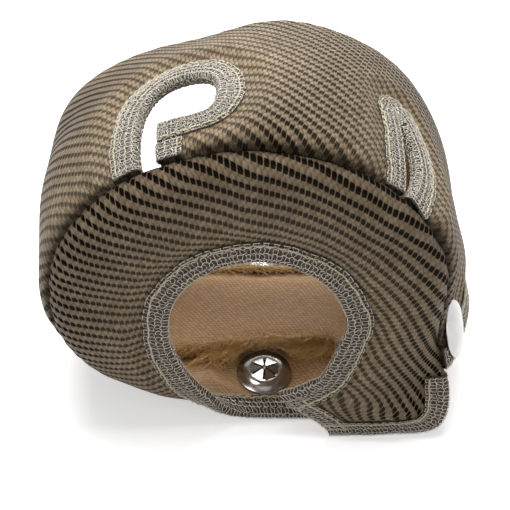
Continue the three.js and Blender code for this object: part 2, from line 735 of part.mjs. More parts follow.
// Locking washer: a dished ring whose prongs lean in to grip the pin
function washerGeometry(lift) {
  const foot = legOutside + LAYER_GAP + lift;
  const ring = new THREE.LatheGeometry([
    [WASHER_HOLE, foot + WASHER_HEIGHT - WASHER_THICK],
    [WASHER_RADIUS - 3, foot + WASHER_HEIGHT * 0.55 - WASHER_THICK],
    [WASHER_RADIUS - 0.6, foot],
    [WASHER_RADIUS, foot + 0.3],
    [WASHER_RADIUS - 2.6, foot + WASHER_HEIGHT * 0.55],
    [WASHER_HOLE, foot + WASHER_HEIGHT],
    [WASHER_HOLE, foot + WASHER_HEIGHT - WASHER_THICK],
  ].map(([r, y]) => new THREE.Vector2(r, y)), ROUND_SIDES);
  const solids = [toManifold(facingOut(mergeVertices(bare(ring), 1e-4)))];
  const bite = PIN_RADIUS + PIN_CLEARANCE;
  for (let i = 0; i < PRONGS; i += 1) {
    const half = Math.PI / PRONGS * 0.86;
    const outerEnd = WASHER_HOLE + 0.6;
    const rise = foot + WASHER_HEIGHT - WASHER_THICK;
    const corners = [-half, half].map((a) => [outerEnd * Math.cos(a), outerEnd * Math.sin(a)]);
    const tips = [0.35, -0.35].map((z) => [bite, z]);
    const flatShape = [...corners, ...tips];
    const caps = THREE.ShapeUtils.triangulateShape(flatShape.map(([x, z]) => new THREE.Vector2(x, z)), []);
    const loops = [0, WASHER_THICK * 0.9].map((lift) => flatShape.map(([x, z], j) => (
      point(x, rise + lift + (j < 2 ? 0 : PRONG_RISE), z))));
    const prong = solidFromLoops(loops, caps).rotateY(2 * Math.PI * i / PRONGS);
    solids.push(toManifold(prong));
  }
  const joined = solids.reduce((sum, solid) => sum.add(solid));
  return facingOut(fromManifold(joined).scale(1, -1, 1));
}

function bare(geometry) {
  const copy = geometry.clone();
  copy.deleteAttribute('normal');
  copy.deleteAttribute('uv');
  return copy;
}

// Materials
const clothFinish = { color: 0x6f6250, roughness: 0.8, metalness: 0 };
const matFinish = { color: 0xe9e4d8, roughness: 1, metalness: 0 };
const liningFinish = { color: 0xa78459, roughness: 0.75, metalness: 0 };
const allowanceFinish = { color: 0xb08a52, roughness: 0.9, metalness: 0 };
const tapeFinish = { color: 0x83807b, roughness: 0.5, metalness: 0.7 };
const steelFinish = { color: 0xc9c8c6, roughness: 0.2, metalness: 1 };

const group = new THREE.Group();
function addPiece(name, geometry, finish) {
  const mesh = new THREE.Mesh(geometry, new THREE.MeshStandardMaterial(finish));
  mesh.name = name;
  group.add(mesh);
}

// Panels: outer cloth, mat and lining, cut for the notch, the slot and the pins
const bandHoles = [notchHole, slotHole].map(bandCutter);
for (const panel of ['front', 'band', 'rear']) {
  const cuts = anchors.filter((anchor) => anchor.panel === panel).map(pinHole);
  if (panel === 'band') {
    cuts.push(...bandHoles);
  }
  const cut = (offsets) => {
    const whole = toManifold(layer(panel, offsets));
    return fromManifold(cuts.reduce((rest, hole) => rest.subtract(hole), whole));
  };
  addPiece(`${panel}_cover`, cut(coverOffsets), clothFinish);
  addPiece(`${panel}_insulation`, cut(matOffsets), matFinish);
  addPiece(`${panel}_lining`, cut(liningOffsets), liningFinish);
}
addPiece('front_seam_allowance', allowance('band', 'front'), allowanceFinish);
addPiece('rear_seam_allowance', allowance('band', 'rear'), allowanceFinish);

// Tapes
const tapes = {
  opening: frontEdgeTape,
  flap: flapTape,
  slit: slitTape,
  rear_opening: rearEdgeTape,
  band_end: bandEndTape,
  rear_end: rearEndTape,
  ...tailTapes,
  notch: roundHole(notchEdge),
  notch_tab: roundHole(tabEdge),
  slot: roundHole(slotEdge),
};
for (const [name, stations] of Object.entries(tapes)) {
  addPiece(`${name}_binding`, sweep(tapeProfile, stations), tapeFinish);
}

// Lacing anchors and locking washers
for (const anchor of anchors) {
  addPiece(`${anchor.name}_anchor`, anchorGeometry(anchor.lift).applyMatrix4(anchorMatrix(anchor)), steelFinish);
  addPiece(`${anchor.name}_washer`, washerGeometry(anchor.lift).applyMatrix4(anchorMatrix(anchor)), steelFinish);
}

// The origin is at the middle of the footprint, on the table
const bounds = new THREE.Box3().setFromObject(group);
const middle = bounds.getCenter(new THREE.Vector3());
group.position.set(-middle.x, -middle.y, -bounds.min.z);

export default group;
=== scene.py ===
"""Looks of the turbo heat blanket, built over its CAD frame. Lengths in the maths are millimetres."""

import math

import bpy
import numpy as np
from mathutils import Matrix, Vector


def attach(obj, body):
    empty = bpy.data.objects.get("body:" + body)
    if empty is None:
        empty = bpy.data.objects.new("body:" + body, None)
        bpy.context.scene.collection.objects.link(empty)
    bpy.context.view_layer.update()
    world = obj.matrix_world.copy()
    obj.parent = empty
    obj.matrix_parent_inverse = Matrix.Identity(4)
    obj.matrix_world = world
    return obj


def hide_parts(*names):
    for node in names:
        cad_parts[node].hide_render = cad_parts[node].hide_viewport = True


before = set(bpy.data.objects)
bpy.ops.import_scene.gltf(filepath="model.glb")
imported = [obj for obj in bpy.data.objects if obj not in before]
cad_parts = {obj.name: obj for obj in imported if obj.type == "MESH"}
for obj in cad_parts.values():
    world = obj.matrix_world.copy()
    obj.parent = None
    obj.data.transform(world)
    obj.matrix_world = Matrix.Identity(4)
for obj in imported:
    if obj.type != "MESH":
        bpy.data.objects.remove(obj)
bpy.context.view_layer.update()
bpy.ops.object.select_all(action="DESELECT")
scene = bpy.context.scene
MM = 0.001

# Table top and light. The blanket stands on a white table in soft, even light
# from a wide lamp above it and weaker ones at the sides and behind.


def tree_of(name, colour, roughness, metallic=0.0, specular=0.4):
    """A new material with its shader set, and its node tree."""
    made = bpy.data.materials.new(name)
    made.use_nodes = True
    shader = made.node_tree.nodes["Principled BSDF"]
    shader.inputs["Base Color"].default_value = (*colour, 1)
    shader.inputs["Roughness"].default_value = roughness
    shader.inputs["Metallic"].default_value = metallic
    shader.inputs["Specular IOR Level"].default_value = specular
    return made, made.node_tree, shader


def calc(tree, operation, *values):
    """A Math node on numbers or sockets; gives its output socket."""
    node = tree.nodes.new("ShaderNodeMath")
    node.operation = operation
    for i, value in enumerate(values):
        if hasattr(value, "links"):
            tree.links.new(value, node.inputs[i])
        else:
            node.inputs[i].default_value = value
    return node.outputs[0]


def seen_directly(tree):
    """1 for rays that show the surroundings themselves: camera, glossy and transmission rays."""
    rays = tree.nodes.new("ShaderNodeLightPath").outputs
    either = calc(tree, "MAXIMUM", rays["Is Camera Ray"], rays["Is Glossy Ray"])
    return calc(tree, "MAXIMUM", either, rays["Is Transmission Ray"])


bpy.ops.mesh.primitive_plane_add(size=6)
table_top = bpy.context.object
table_top.name = "table_top"
white, tree, shader = tree_of("white table", (0.86, 0.86, 0.86), 0.9, specular=0.1)
glow = tree.nodes.new("ShaderNodeEmission")
glow.inputs["Color"].default_value = (1, 1, 1, 1)
tree.links.new(calc(tree, "MULTIPLY", seen_directly(tree), 0.5), glow.inputs["Strength"])
both = tree.nodes.new("ShaderNodeAddShader")
tree.links.new(shader.outputs[0], both.inputs[0])
tree.links.new(glow.outputs[0], both.inputs[1])
tree.links.new(both.outputs[0], tree.nodes["Material Output"].inputs["Surface"])
table_top.data.materials.append(white)

world = bpy.data.worlds.new("studio")
scene.world = world
world.use_nodes = True
tree = world.node_tree
backdrop = tree.nodes["Background"]
backdrop.inputs["Color"].default_value = (1, 1, 1, 1)
SOFT_LIGHT = 0.24
strength = calc(tree, "MULTIPLY_ADD", seen_directly(tree), 1 - SOFT_LIGHT, SOFT_LIGHT)
tree.links.new(strength, backdrop.inputs["Strength"])

for name, place_m, turn, size, power in (
    ("lamp_above", (-0.1, 0.15, 1.4), (0, 0, 0), 0.8, 20),
    ("lamp_left", (-1.2, -0.5, 0.7), (65, 0, -65), 0.7, 2.6),
    ("lamp_right", (1.1, -0.8, 0.8), (60, 0, 55), 0.7, 1.8),
    ("lamp_behind", (0.1, 1.3, 0.7), (-62, 0, 5), 0.7, 9),
):
    lamp = bpy.data.lights.new(name, "AREA")
    lamp.size = size
    lamp.energy = power
    holder = bpy.data.objects.new(name, lamp)
    holder.location = place_m
    holder.rotation_euler = [math.radians(a) for a in turn]
    scene.collection.objects.link(holder)

view = bpy.data.cameras.new("photo view")
view.lens = 87.2
view.sensor_width = 36
camera = bpy.data.objects.new("photo_view", view)
camera.location = (-0.0008, -0.52008, 0.49306)
camera.rotation_euler = (math.radians(50), 0, 0)
scene.collection.objects.link(camera)
scene.camera = camera
scene.view_settings.view_transform = "Standard"

# Outer cloth. Three panels of coarse basalt twill, front, band and rear, sewn together
# along two seams that run round the drum and out along the flat tail.
SHIFT = np.array([0.2, -77.15, 0.25])
FIRST, TURN, LAST = -3, 10, 16
BACK = np.array([0.0, 1.0, 0.0])


def ease(x):
    x = np.clip(x, 0, 1)
    return x * x * (3 - 2 * x)


def unit(v):
    return v / np.maximum(np.linalg.norm(v, axis=-1, keepdims=True), 1e-12)


OUTLET_RADIUS, OUTLET_HEIGHT = 46, 73
DRUM_HALF_WIDTH, DRUM_HALF_HEIGHT, DRUM_HEIGHT = 100, 95, 80
DRUM_LEFT = -3
FRONT_SEAM_Y, REAR_SEAM_Y, REAR_EDGE_Y = 8, 126, 134
REAR_RADIUS, REAR_HEIGHT = 65, 88
TAIL_END_X = 63


def rim_point(degrees, y=0.0):
    """A point of the outlet's rim, round its middle."""
    a = math.radians(degrees)
    return [OUTLET_RADIUS * math.cos(a), y, OUTLET_HEIGHT + OUTLET_RADIUS * math.sin(a)]


def drum_lines():
    """The front edge, front seam, rear seam and rear edge, as points at the stations."""
    end = math.degrees(math.asin(-30 / OUTLET_RADIUS))
    front_edge = [rim_point(-75 + (end + 75) * i / 3, -2) for i in range(4)]
    front_seam = [[38, -2, 1.1], [69, -2, 2.1], [96, -2, 9.1], [102, 6, 43]]
    rear_seam = [[96, 124, 40]]
    rear_edge = [[54, 132, 50]]
    for i in range(10):
        degrees = 20 * i
        c, s = math.cos(math.radians(degrees)), math.sin(math.radians(degrees))
        dent = 7 * math.exp(-(((degrees - 112) / 18) ** 2))
        front_edge.append(rim_point(degrees))
        across, up = DRUM_HALF_WIDTH * c, DRUM_HALF_HEIGHT * s
        front_seam.append([across + DRUM_LEFT, FRONT_SEAM_Y, DRUM_HEIGHT + up])
        across, up = (DRUM_HALF_WIDTH - 1 - dent) * c, (DRUM_HALF_HEIGHT - 3 - dent) * s
        rear_seam.append([across + DRUM_LEFT, REAR_SEAM_Y, DRUM_HEIGHT + up])
        rear_edge.append([REAR_RADIUS * c + DRUM_LEFT, REAR_EDGE_Y, REAR_HEIGHT + REAR_RADIUS * s])
    runs = (
        (front_edge, 7.5, 3.6, -12, 0.5, 3.6),
        (front_seam, 51, 8, -36, 1.05, 0),
        (rear_seam, 116, 8, -36, 1.05, 0),
        (rear_edge, 161, 3.6, -18, 0.8, 3.6),
    )
    for line, y, z, start, fullness, settling in runs:
        left = line[-1]
        for i in range(1, 5):
            q = i / 4 * math.pi / 2
            slow = 1 - math.cos(q)
            drop = (1 - fullness) * slow + fullness * math.sin(q)
            back = float(ease(i / 4 * 4 / 5.5))
            line.append([
                left[0] + (start - left[0]) * slow**1.2,
                left[1] + (y - left[1]) * back,
                left[2] + (z + settling - left[2]) * drop,
            ])
        line += [[(start + TAIL_END_X) / 2, y, z], [TAIL_END_X, y, z]]
    names = ("front_edge", "front_seam", "rear_seam", "rear_edge")
    return {name: np.array(run[0], float) for name, run in zip(names, runs)}


LINES = drum_lines()


def along(name, k):
    points = LINES[name]
    first = FIRST if name.startswith("front") else 0
    x = np.clip(np.asarray(k, float) - first, 0, len(points) - 1)
    i = np.minimum(x.astype(int), len(points) - 2)
    t = (x - i)[:, None]
    held = np.vstack([2 * points[0] - points[1], points, 2 * points[-1] - points[-2]])
    a, b, c, d = held[i], held[i + 1], held[i + 2], held[i + 3]
    v0, v1 = (c - a) / 2, (d - b) / 2
    return b + v0 * t + (3 * (c - b) - 2 * v0 - v1) * t**2 + (2 * (b - c) + v0 + v1) * t**3


def opened(k):
    return ease((k - TURN - 1) / 4)


def across_seam(name, k):
    first = FIRST if name.startswith("front") else 0
    tangent = along(name, np.minimum(k + 0.05, LAST)) - along(name, np.maximum(k - 0.05, first))
    out = unit(np.cross(BACK, tangent))
    roll = (math.radians(50) * ease((k + 0.4) / 1.6))[:, None]
    side = 1 if name == "front_seam" else -1
    rolled = out * side * np.cos(roll) + BACK * np.sin(roll)
    return unit(rolled + (BACK - rolled) * opened(k)[:, None])


ENDS = {
    "front": ("front_edge", "front_seam"),
    "band": ("front_seam", "rear_seam"),
    "rear": ("rear_seam", "rear_edge"),
}


def section(panel, k):
    """Control points of a panel's cross section at the stations k, from front to rear."""
    start, end = (along(name, k) for name in ENDS[panel])
    span = end - start
    length = np.linalg.norm(span, axis=1, keepdims=True)
    flat = opened(k)[:, None]
    level = unit(span * (1, 0, 1))
    wall = unit(level + (unit(span) - level) * flat)
    if panel == "front":
        return start, start + wall * length * 0.42, end - across_seam("front_seam", k) * length * 0.22, end
    if panel == "band":
        reach = 16 + (length * 0.3 - 16) * flat
        bulge = BACK * length * 0.12 * (1 - flat)
        near = start + across_seam("front_seam", k) * reach + bulge
        return start, near, end - across_seam("rear_seam", k) * reach - bulge, end
    return start, start + across_seam("rear_seam", k) * length * 0.3, end - wall * length * 0.35, end


def bezier(points, t):
    t = t[..., None]
    a, b, c, d = (p if t.ndim == 2 else p[:, None] for p in points)
    return a * (1 - t) ** 3 + 3 * b * t * (1 - t) ** 2 + 3 * c * t**2 * (1 - t) + d * t**3


# centre, move and reach of each soft sag or bulge
SLUMPS = (
    ((-94, 118, 118), (-2.5, 0.0, 1.5), 22),
    ((-30, 118, 172), (0.0, 0.0, -5.0), 18),
    ((-96, 20, 44), (7.5, 0.0, 1.5), 32),
    ((-104, 60, 80), (2.5, 0.0, 0.0), 24),
    ((-76, 50, 142), (-1.5, 0.0, 1.5), 18),
    ((38, 60, 176), (0.0, 0.0, 1.5), 22),
    ((104, 0, 64), (-8.0, 0.0, -2.0), 26),
    ((104, 64, 104), (-5.5, 0.0, 0.0), 28),
    ((112, 34, 56), (-4.0, 0.0, -1.0), 20),
    ((104, 50, 26), (6.0, 0.0, -1.0), 20),
)


def slumped(points):
    """The slack jacket sags and stands out softly in a few places."""
    moved = points.copy()
    for centre, move, reach in SLUMPS:
        share = np.exp(-((points - centre) ** 2).sum(1) / (2 * reach**2))
        moved += share[:, None] * np.array(move)
    return moved


def on_panel(panel, d, k):
    """Points of a panel's middle surface, d from its front side, and its length there."""
    d, k = np.broadcast_arrays(np.asarray(d, float), np.asarray(k, float))
    points = section(panel, k)
    shares = np.broadcast_to(np.linspace(0, 1, 25), (len(k), 25))
    steps = np.linalg.norm(np.diff(bezier(points, shares), axis=1), axis=2)
    total = np.concatenate([np.zeros((len(k), 1)), np.cumsum(steps, axis=1)], axis=1)
    length = total[:, -1]
    i = np.clip((total <= d[:, None]).sum(1) - 1, 0, 23)
    row = np.arange(len(k))
    t = (i + (d - total[row, i]) / steps[row, i]) / 24
    found = bezier(points, np.clip(t, 0, 1))
    found += unit(points[1] - points[0]) * np.minimum(d, 0)[:, None]
    found += unit(points[3] - points[2]) * np.maximum(d - length, 0)[:, None]
    return slumped(found), length


def panel_length(panel, k):
    return on_panel(panel, np.zeros(len(k)), k)[1]


def plain_normal(panel, d, k):
    length = panel_length(panel, k)
    low = np.clip(d - 0.4, 0, length - 0.8)
    across = on_panel(panel, low + 0.8, k)[0] - on_panel(panel, low, k)[0]
    share = np.clip(d / length, 0, 1)
    k0 = np.maximum(k - 0.03, FIRST if panel == "front" else 0)
    k1 = np.minimum(k + 0.03, LAST)
    ahead = on_panel(panel, share * panel_length(panel, k1), k1)[0]
    behind = on_panel(panel, share * panel_length(panel, k0), k0)[0]
    return unit(np.cross(across, ahead - behind))


SEAM_BLEND = 9.0
NEIGHBOURS = {
    ("front", "after"): "band",
    ("band", "after"): "rear",
    ("band", "before"): "front",
    ("rear", "before"): "band",
}


def normal_at(panel, d, k):
    """Outward normal, which turns to the neighbour's at a seam."""
    length = panel_length(panel, k)
    found = plain_normal(panel, d, k)
    for neighbour, gap in (("after", length - d), ("before", d)):
        other = NEIGHBOURS.get((panel, neighbour))
        near = (gap < SEAM_BLEND) & (k >= 0)
        if other is None or not near.any():
            continue
        kn = k[near]
        own = plain_normal(panel, length[near] if neighbour == "after" else np.zeros(len(kn)), kn)
        there = np.zeros(len(kn)) if neighbour == "after" else panel_length(other, kn)
        shared = unit(own + plain_normal(other, there, kn))
        share = ease(np.maximum(gap[near], 0) / SEAM_BLEND)[:, None]
        found[near] = unit(shared + (found[near] - shared) * share)
    return found


def place(panel, d, k, w):
    d, k, w = np.broadcast_arrays(np.asarray(d, float), np.asarray(k, float), np.asarray(w, float))
    return on_panel(panel, d, k)[0] + normal_at(panel, d, k) * w[:, None]


def distance_along(points):
    """How far each point of a polyline is from its start."""
    return np.concatenate([[0], np.cumsum(np.linalg.norm(np.diff(points, axis=0), axis=1))])


ring_k = np.linspace(0, LAST, 161)
ring_u = distance_along(on_panel("band", np.full(161, 50.0), ring_k)[0])


def station_at(u):
    return np.interp(u, ring_u, ring_k)


def length_at(k):
    return np.interp(k, ring_k, ring_u)


def quadratic(a, b, c):
    t = np.linspace(0, 1, 9)[1:, None]
    return np.array(a) * (1 - t) ** 2 + 2 * np.array(b) * t * (1 - t) + np.array(c) * t**2


NOTCH = np.vstack([
    [(259, 1.5), (259, 12)],
    quadratic((259, 12), (259, 61), (238.5, 61)),
    quadratic((238.5, 61), (218, 61), (218, 42.5)),
    quadratic((218, 42.5), (218, 24), (230, 24)), [(247, 24)],
])
TAB = np.array([(247, 11), (247, 1.5)], float)
SLOT = np.vstack([
    [(123.5, 1.5), (128.5, 51.5)],
    quadratic((128.5, 51.5), (128.5, 54), (126, 54)),
    quadratic((126, 54), (123.5, 54), (123.5, 51.5)),
    quadratic((123.5, 51.5), (107.5, 30), (118.5, 1.5)),
])


def path_distance(u, v, path):
    best = np.full(len(u), 1e9)
    for a, b in zip(path[:-1], path[1:]):
        side = b - a
        share = np.clip(((u - a[0]) * side[0] + (v - a[1]) * side[1]) / (side @ side), 0, 1)
        best = np.minimum(best, np.hypot(u - a[0] - share * side[0], v - a[1] - share * side[1]))
    return best


def inside_path(u, v, path):
    """True where (u, v) lies in a hole of the flat band, which is open to the front seam."""
    ring = np.vstack([path, [(path[-1][0], -9), (path[0][0], -9)]])
    count = np.zeros(len(u), int)
    for a, b in zip(ring, np.roll(ring, -1, axis=0)):
        crosses = (a[1] > v) != (b[1] > v)
        at = a[0] + (v - a[1]) * (b[0] - a[0]) / (b[1] - a[1] if b[1] != a[1] else 1)
        count += crosses & (u < at)
    return count % 2 == 1


# each lacing anchor: its panel, station, and distance from the panel's front (or, below 0, rear) side
ANCHORS = {
    "front_right": ("band", station_at(14.5), 15.5),
    "rear_right": ("band", station_at(17.0), -17),
    "front_tail": ("front", 14.73, -17),
    "rear_tail": ("rear", 14.73, 17),
}
pins = {}
for pin_name, (panel, station, inset) in ANCHORS.items():
    k_one = np.array([station])
    d_one = np.array([inset if inset > 0 else panel_length(panel, k_one)[0] + inset])
    pins[pin_name] = (on_panel(panel, d_one, k_one)[0][0], plain_normal(panel, d_one, k_one)[0])


def wall_grid(panel, pitch):
    """A grid over a panel: stations, shares of its width, and the flat measures at each point."""
    first = FIRST if panel == "front" else 0
    fine = np.linspace(first, LAST, 1200)
    middle = on_panel(panel, panel_length(panel, fine) * 0.6, fine)[0]
    run = distance_along(middle)
    k = np.interp(np.linspace(0, run[-1], int(run[-1] / pitch) + 1), run, fine)
    width = panel_length(panel, fine).max()
    s = np.linspace(0, 1, int(width / pitch) + 1)
    kk, ss = np.meshgrid(k, s, indexing="ij")
    length = panel_length(panel, kk.ravel())
    return kk, ss, (ss.ravel() * length).reshape(kk.shape), length.reshape(kk.shape)


def halves(panel, d, k, length, here):
    """Half the wall's thickness towards the outside and the inside at each point."""
    first = FIRST if panel == "front" else 0
    share = d / length
    ends = []
    for end in (first, LAST):
        k_end = np.full(len(k), float(end))
        at_end = on_panel(panel, share * panel_length(panel, k_end), k_end)[0]
        ends.append(np.linalg.norm(here - at_end, axis=1))
    edge = np.minimum(*ends)
    if panel == "front":
        edge = np.minimum(edge, d)
        edge = np.minimum(edge, np.where(k < 0, length - d, 1e9))
    elif panel == "rear":
        edge = np.minimum(edge, length - d)
    else:
        u = length_at(k)
        for path in (NOTCH, TAB, SLOT):
            edge = np.minimum(edge, path_distance(u, d, path))
    seam = {"front": np.where(k < 0, 1e9, length - d), "band": np.minimum(d, length - d), "rear": d}[panel]
    pinned = np.min([np.linalg.norm(here - centre, axis=1) for centre, _ in pins.values()], axis=0)
    puff = np.minimum(ease((edge - 11) / 13), ease((pinned - 16) / 16))
    full = 2.2 + 3.9 * puff
    rounded = np.sqrt(np.clip(1 - (1 - np.clip(seam / 11, 0, 1)) ** 2, 0, 1))
    outer = np.minimum(full, -0.8 + (full + 0.8) * rounded)
    inner = np.minimum(full, 3.6 + 2.4 * ease(seam / 14))
    outer = outer + (np.minimum(outer, 3.6) - outer) * opened(k)
    return outer, inner, edge, seam


rng = np.random.default_rng(7)
WAVES = [(rng.uniform(0.05, 0.16), rng.uniform(0, 6.28), rng.uniform(0, 6.28)) for _ in range(9)]


def drape(u, d, edge, seam, soft):
    """Slow waves of the slack cloth and the puckers that a seam draws up, in millimetres."""
    waves = sum(np.sin(f * (u * math.cos(a) + d * math.sin(a)) + b) for f, a, b in WAVES) / 9
    pucker = np.sin(u / 2.1 + 1.4 * np.sin(u / 9.0)) * np.exp(-seam / 5.0) * np.clip(seam / 1.5, 0, 1)
    return 2.6 * soft * waves * ease((edge - 10) / 14) + 0.6 * soft * pucker


def cloth_axes(points):
    """Unit vectors along the ring and across it at each point of a grid."""
    ring = unit(np.gradient(points, axis=0))
    across = np.gradient(points, axis=1)
    return ring, unit(across - ring * (across * ring).sum(-1, keepdims=True))


def lay_flat(points, angle):
    """Flat cloth coordinates whose rows keep near the given angles from the ring direction."""
    rows, columns = angle.shape
    step_k, step_s = max(rows // 90, 1), max(columns // 16, 1)
    x = np.linspace(-1, 1, rows)
    y = np.linspace(-1, 1, columns)
    tk = np.polynomial.chebyshev.chebvander(x, 14)
    ts = np.polynomial.chebyshev.chebvander(y, 3)
    pick_k, pick_s = np.arange(0, rows, step_k), np.arange(0, columns, step_s)
    p = points[np.ix_(pick_k, pick_s)]
    a = angle[np.ix_(pick_k, pick_s)]
    basis = np.einsum("ai,bj->abij", tk[pick_k], ts[pick_s]).reshape(len(pick_k), len(pick_s), -1)
    ring, across = cloth_axes(p)
    row = ring * np.cos(a)[..., None] + across * np.sin(a)[..., None]
    column = across * np.cos(a)[..., None] - ring * np.sin(a)[..., None]
    system, wanted = [], [[], []]
    for axis in (0, 1):
        system.append(np.diff(basis, axis=axis).reshape(-1, basis.shape[2]))
        move = np.diff(p, axis=axis)
        for which, direction in enumerate((row, column)):
            last = direction.shape[axis] - 1
            before, after = (np.take(direction, range(i, i + last), axis) for i in (0, 1))
            middle = (before + after) / 2
            wanted[which].append((move * middle).sum(-1).ravel())
    system = np.vstack(system)
    result = []
    for which in (0, 1):
        found = np.linalg.lstsq(system[:, 1:], np.concatenate(wanted[which]), rcond=None)[0]
        whole = np.concatenate([[0], found]).reshape(tk.shape[1], ts.shape[1])
        result.append(tk @ whole @ ts.T)
    return result


def mesh_piece(name, points, faces, uv, material, marks=None):
    """A new piece from points in the model's millimetres, with one UV per point."""
    mesh = bpy.data.meshes.new(name)
    mesh.from_pydata(((points + SHIFT) * MM).tolist(), [], faces)
    layer = mesh.uv_layers.new(name="cloth")
    corners = np.empty(len(mesh.loops), int)
    mesh.loops.foreach_get("vertex_index", corners)
    layer.data.foreach_set("uv", (np.asarray(uv)[corners] / 100).astype(np.float32).ravel())
    mesh.polygons.foreach_set("use_smooth", np.ones(len(mesh.polygons), bool))
    mesh.materials.append(material)
    for label, values in (marks or {}).items():
        mesh.attributes.new(label, "FLOAT", "POINT").data.foreach_set("value", values.astype(np.float32))
    mesh.update()
    piece = bpy.data.objects.new(name, mesh)
    scene.collection.objects.link(piece)
    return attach(piece, "root")


def shell(name, low, high, keep, uv, material, marks=None):
    """A closed sheet of cloth between two grids of points, without the cells not kept."""
    rows, columns = keep.shape[0] + 1, keep.shape[1] + 1
    number = np.arange(rows * columns).reshape(rows, columns)
    total = rows * columns
    a, b, c, d = number[:-1, :-1], number[1:, :-1], number[1:, 1:], number[:-1, 1:]
    outer = np.stack([a, d, c, b], -1)[keep]
    inner = np.stack([a, b, c, d], -1)[keep] + total
    walls = []
    solid = np.pad(keep, 1)
    for edge_a, edge_b, shift in ((a, b, (0, -1)), (c, d, (0, 1)), (b, c, (1, 0)), (d, a, (-1, 0))):
        beyond = solid[1 + shift[0]:rows + shift[0], 1 + shift[1]:columns + shift[1]]
        bare = keep & ~beyond
        first, second = edge_a[bare], edge_b[bare]
        walls.append(np.stack([first, first + total, second + total, second], -1))
    faces = np.vstack([outer, inner, *walls])
    points = np.vstack([high.reshape(-1, 3), low.reshape(-1, 3)])
    both = np.vstack([uv, uv])
    used = np.unique(faces)
    renumber = np.zeros(len(points), int)
    renumber[used] = np.arange(len(used))
    drawn = {label: np.tile(values, 2)[used] for label, values in (marks or {}).items()}
    return mesh_piece(name, points[used], renumber[faces].tolist(), both[used], material, drawn)


def noise(tree, vector, scale, detail=2.0, output="Fac"):
    node = tree.nodes.new("ShaderNodeTexNoise")
    node.inputs["Scale"].default_value = scale
    node.inputs["Detail"].default_value = detail
    tree.links.new(vector, node.inputs["Vector"])
    return node.outputs[output]


def blend(tree, factor, first, second, how="MIX"):
    """A colour Mix node; colours are tuples or sockets."""
    node = tree.nodes.new("ShaderNodeMix")
    node.data_type = "RGBA"
    node.blend_type = how
    sockets = (node.inputs["Factor"], node.inputs[6], node.inputs[7])
    for socket, value in zip(sockets, (factor, first, second)):
        if hasattr(value, "links"):
            tree.links.new(value, socket)
        else:
            socket.default_value = (*value, 1) if isinstance(value, tuple) else value
    return node.outputs[2]


def paint(tree, shader, colour):
    tree.links.new(colour, shader.inputs["Base Color"])


def bump(tree, shader, height, depth_mm):
    node = tree.nodes.new("ShaderNodeBump")
    node.inputs["Distance"].default_value = depth_mm * MM
    tree.links.new(height, node.inputs["Height"])
    tree.links.new(node.outputs[0], shader.inputs["Normal"])


def group_of(name, inputs, outputs):
    """A node group that takes a Vector and numbers, and gives numbers: its tree and its two ends."""
    group = bpy.data.node_groups.new(name, "ShaderNodeTree")
    group.interface.new_socket("Vector", in_out="INPUT", socket_type="NodeSocketVector")
    for label in inputs:
        group.interface.new_socket(label, in_out="INPUT", socket_type="NodeSocketFloat")
    for label in outputs:
        group.interface.new_socket(label, in_out="OUTPUT", socket_type="NodeSocketFloat")
    start = group.nodes.new("NodeGroupInput")
    end = group.nodes.new("NodeGroupOutput")
    return group, start.outputs, end.inputs


def use(tree, group, **values):
    node = tree.nodes.new("ShaderNodeGroup")
    node.node_tree = group
    for label, value in values.items():
        socket = node.inputs[label.replace("_", " ")]
        if hasattr(value, "links"):
            tree.links.new(value, socket)
        else:
            socket.default_value = value
    return node.outputs


def cloth_place(tree):
    """The cloth's own UV map, in millimetres of flat cloth."""
    uv = tree.nodes.new("ShaderNodeUVMap")
    uv.uv_map = "cloth"
    scale = tree.nodes.new("ShaderNodeVectorMath")
    scale.operation = "SCALE"
    scale.inputs["Scale"].default_value = 100
    tree.links.new(uv.outputs[0], scale.inputs[0])
    return scale.outputs[0]


# Twill weave: two staggered lines of slanted floats make one rib of the cloth,
# and between the ribs lies a line of small gaps, which the outer cloth paints as near-black shade.
twill, given, put = group_of(
    "twill weave",
    ("Pitch", "Rib", "Slant", "Wander"),
    ("Height", "Gap", "Float", "Fibre"),
)
drift = twill.nodes.new("ShaderNodeVectorMath")
drift.operation = "MULTIPLY_ADD"
spread = twill.nodes.new("ShaderNodeCombineXYZ")
for axis in ("X", "Y"):
    twill.links.new(given["Wander"], spread.inputs[axis])
twill.links.new(noise(twill, given["Vector"], 0.045, 1, "Color"), drift.inputs[0])
twill.links.new(spread.outputs[0], drift.inputs[1])
twill.links.new(given["Vector"], drift.inputs[2])
split = twill.nodes.new("ShaderNodeSeparateXYZ")
twill.links.new(drift.outputs[0], split.inputs[0])
rib = calc(twill, "DIVIDE", split.outputs["Y"], given["Rib"])
inside_rib = calc(twill, "FRACT", rib)
along_rib = calc(twill, "DIVIDE", split.outputs["X"], given["Pitch"])
run = calc(twill, "MULTIPLY_ADD", rib, given["Slant"], along_rib)


def hump(value, centre, half):
    """1 at the centre, falling to 0 at half on either side."""
    off = calc(twill, "DIVIDE", calc(twill, "SUBTRACT", value, centre), half)
    return calc(twill, "MAXIMUM", calc(twill, "SUBTRACT", 1.0, calc(twill, "MULTIPLY", off, off)), 0.0)


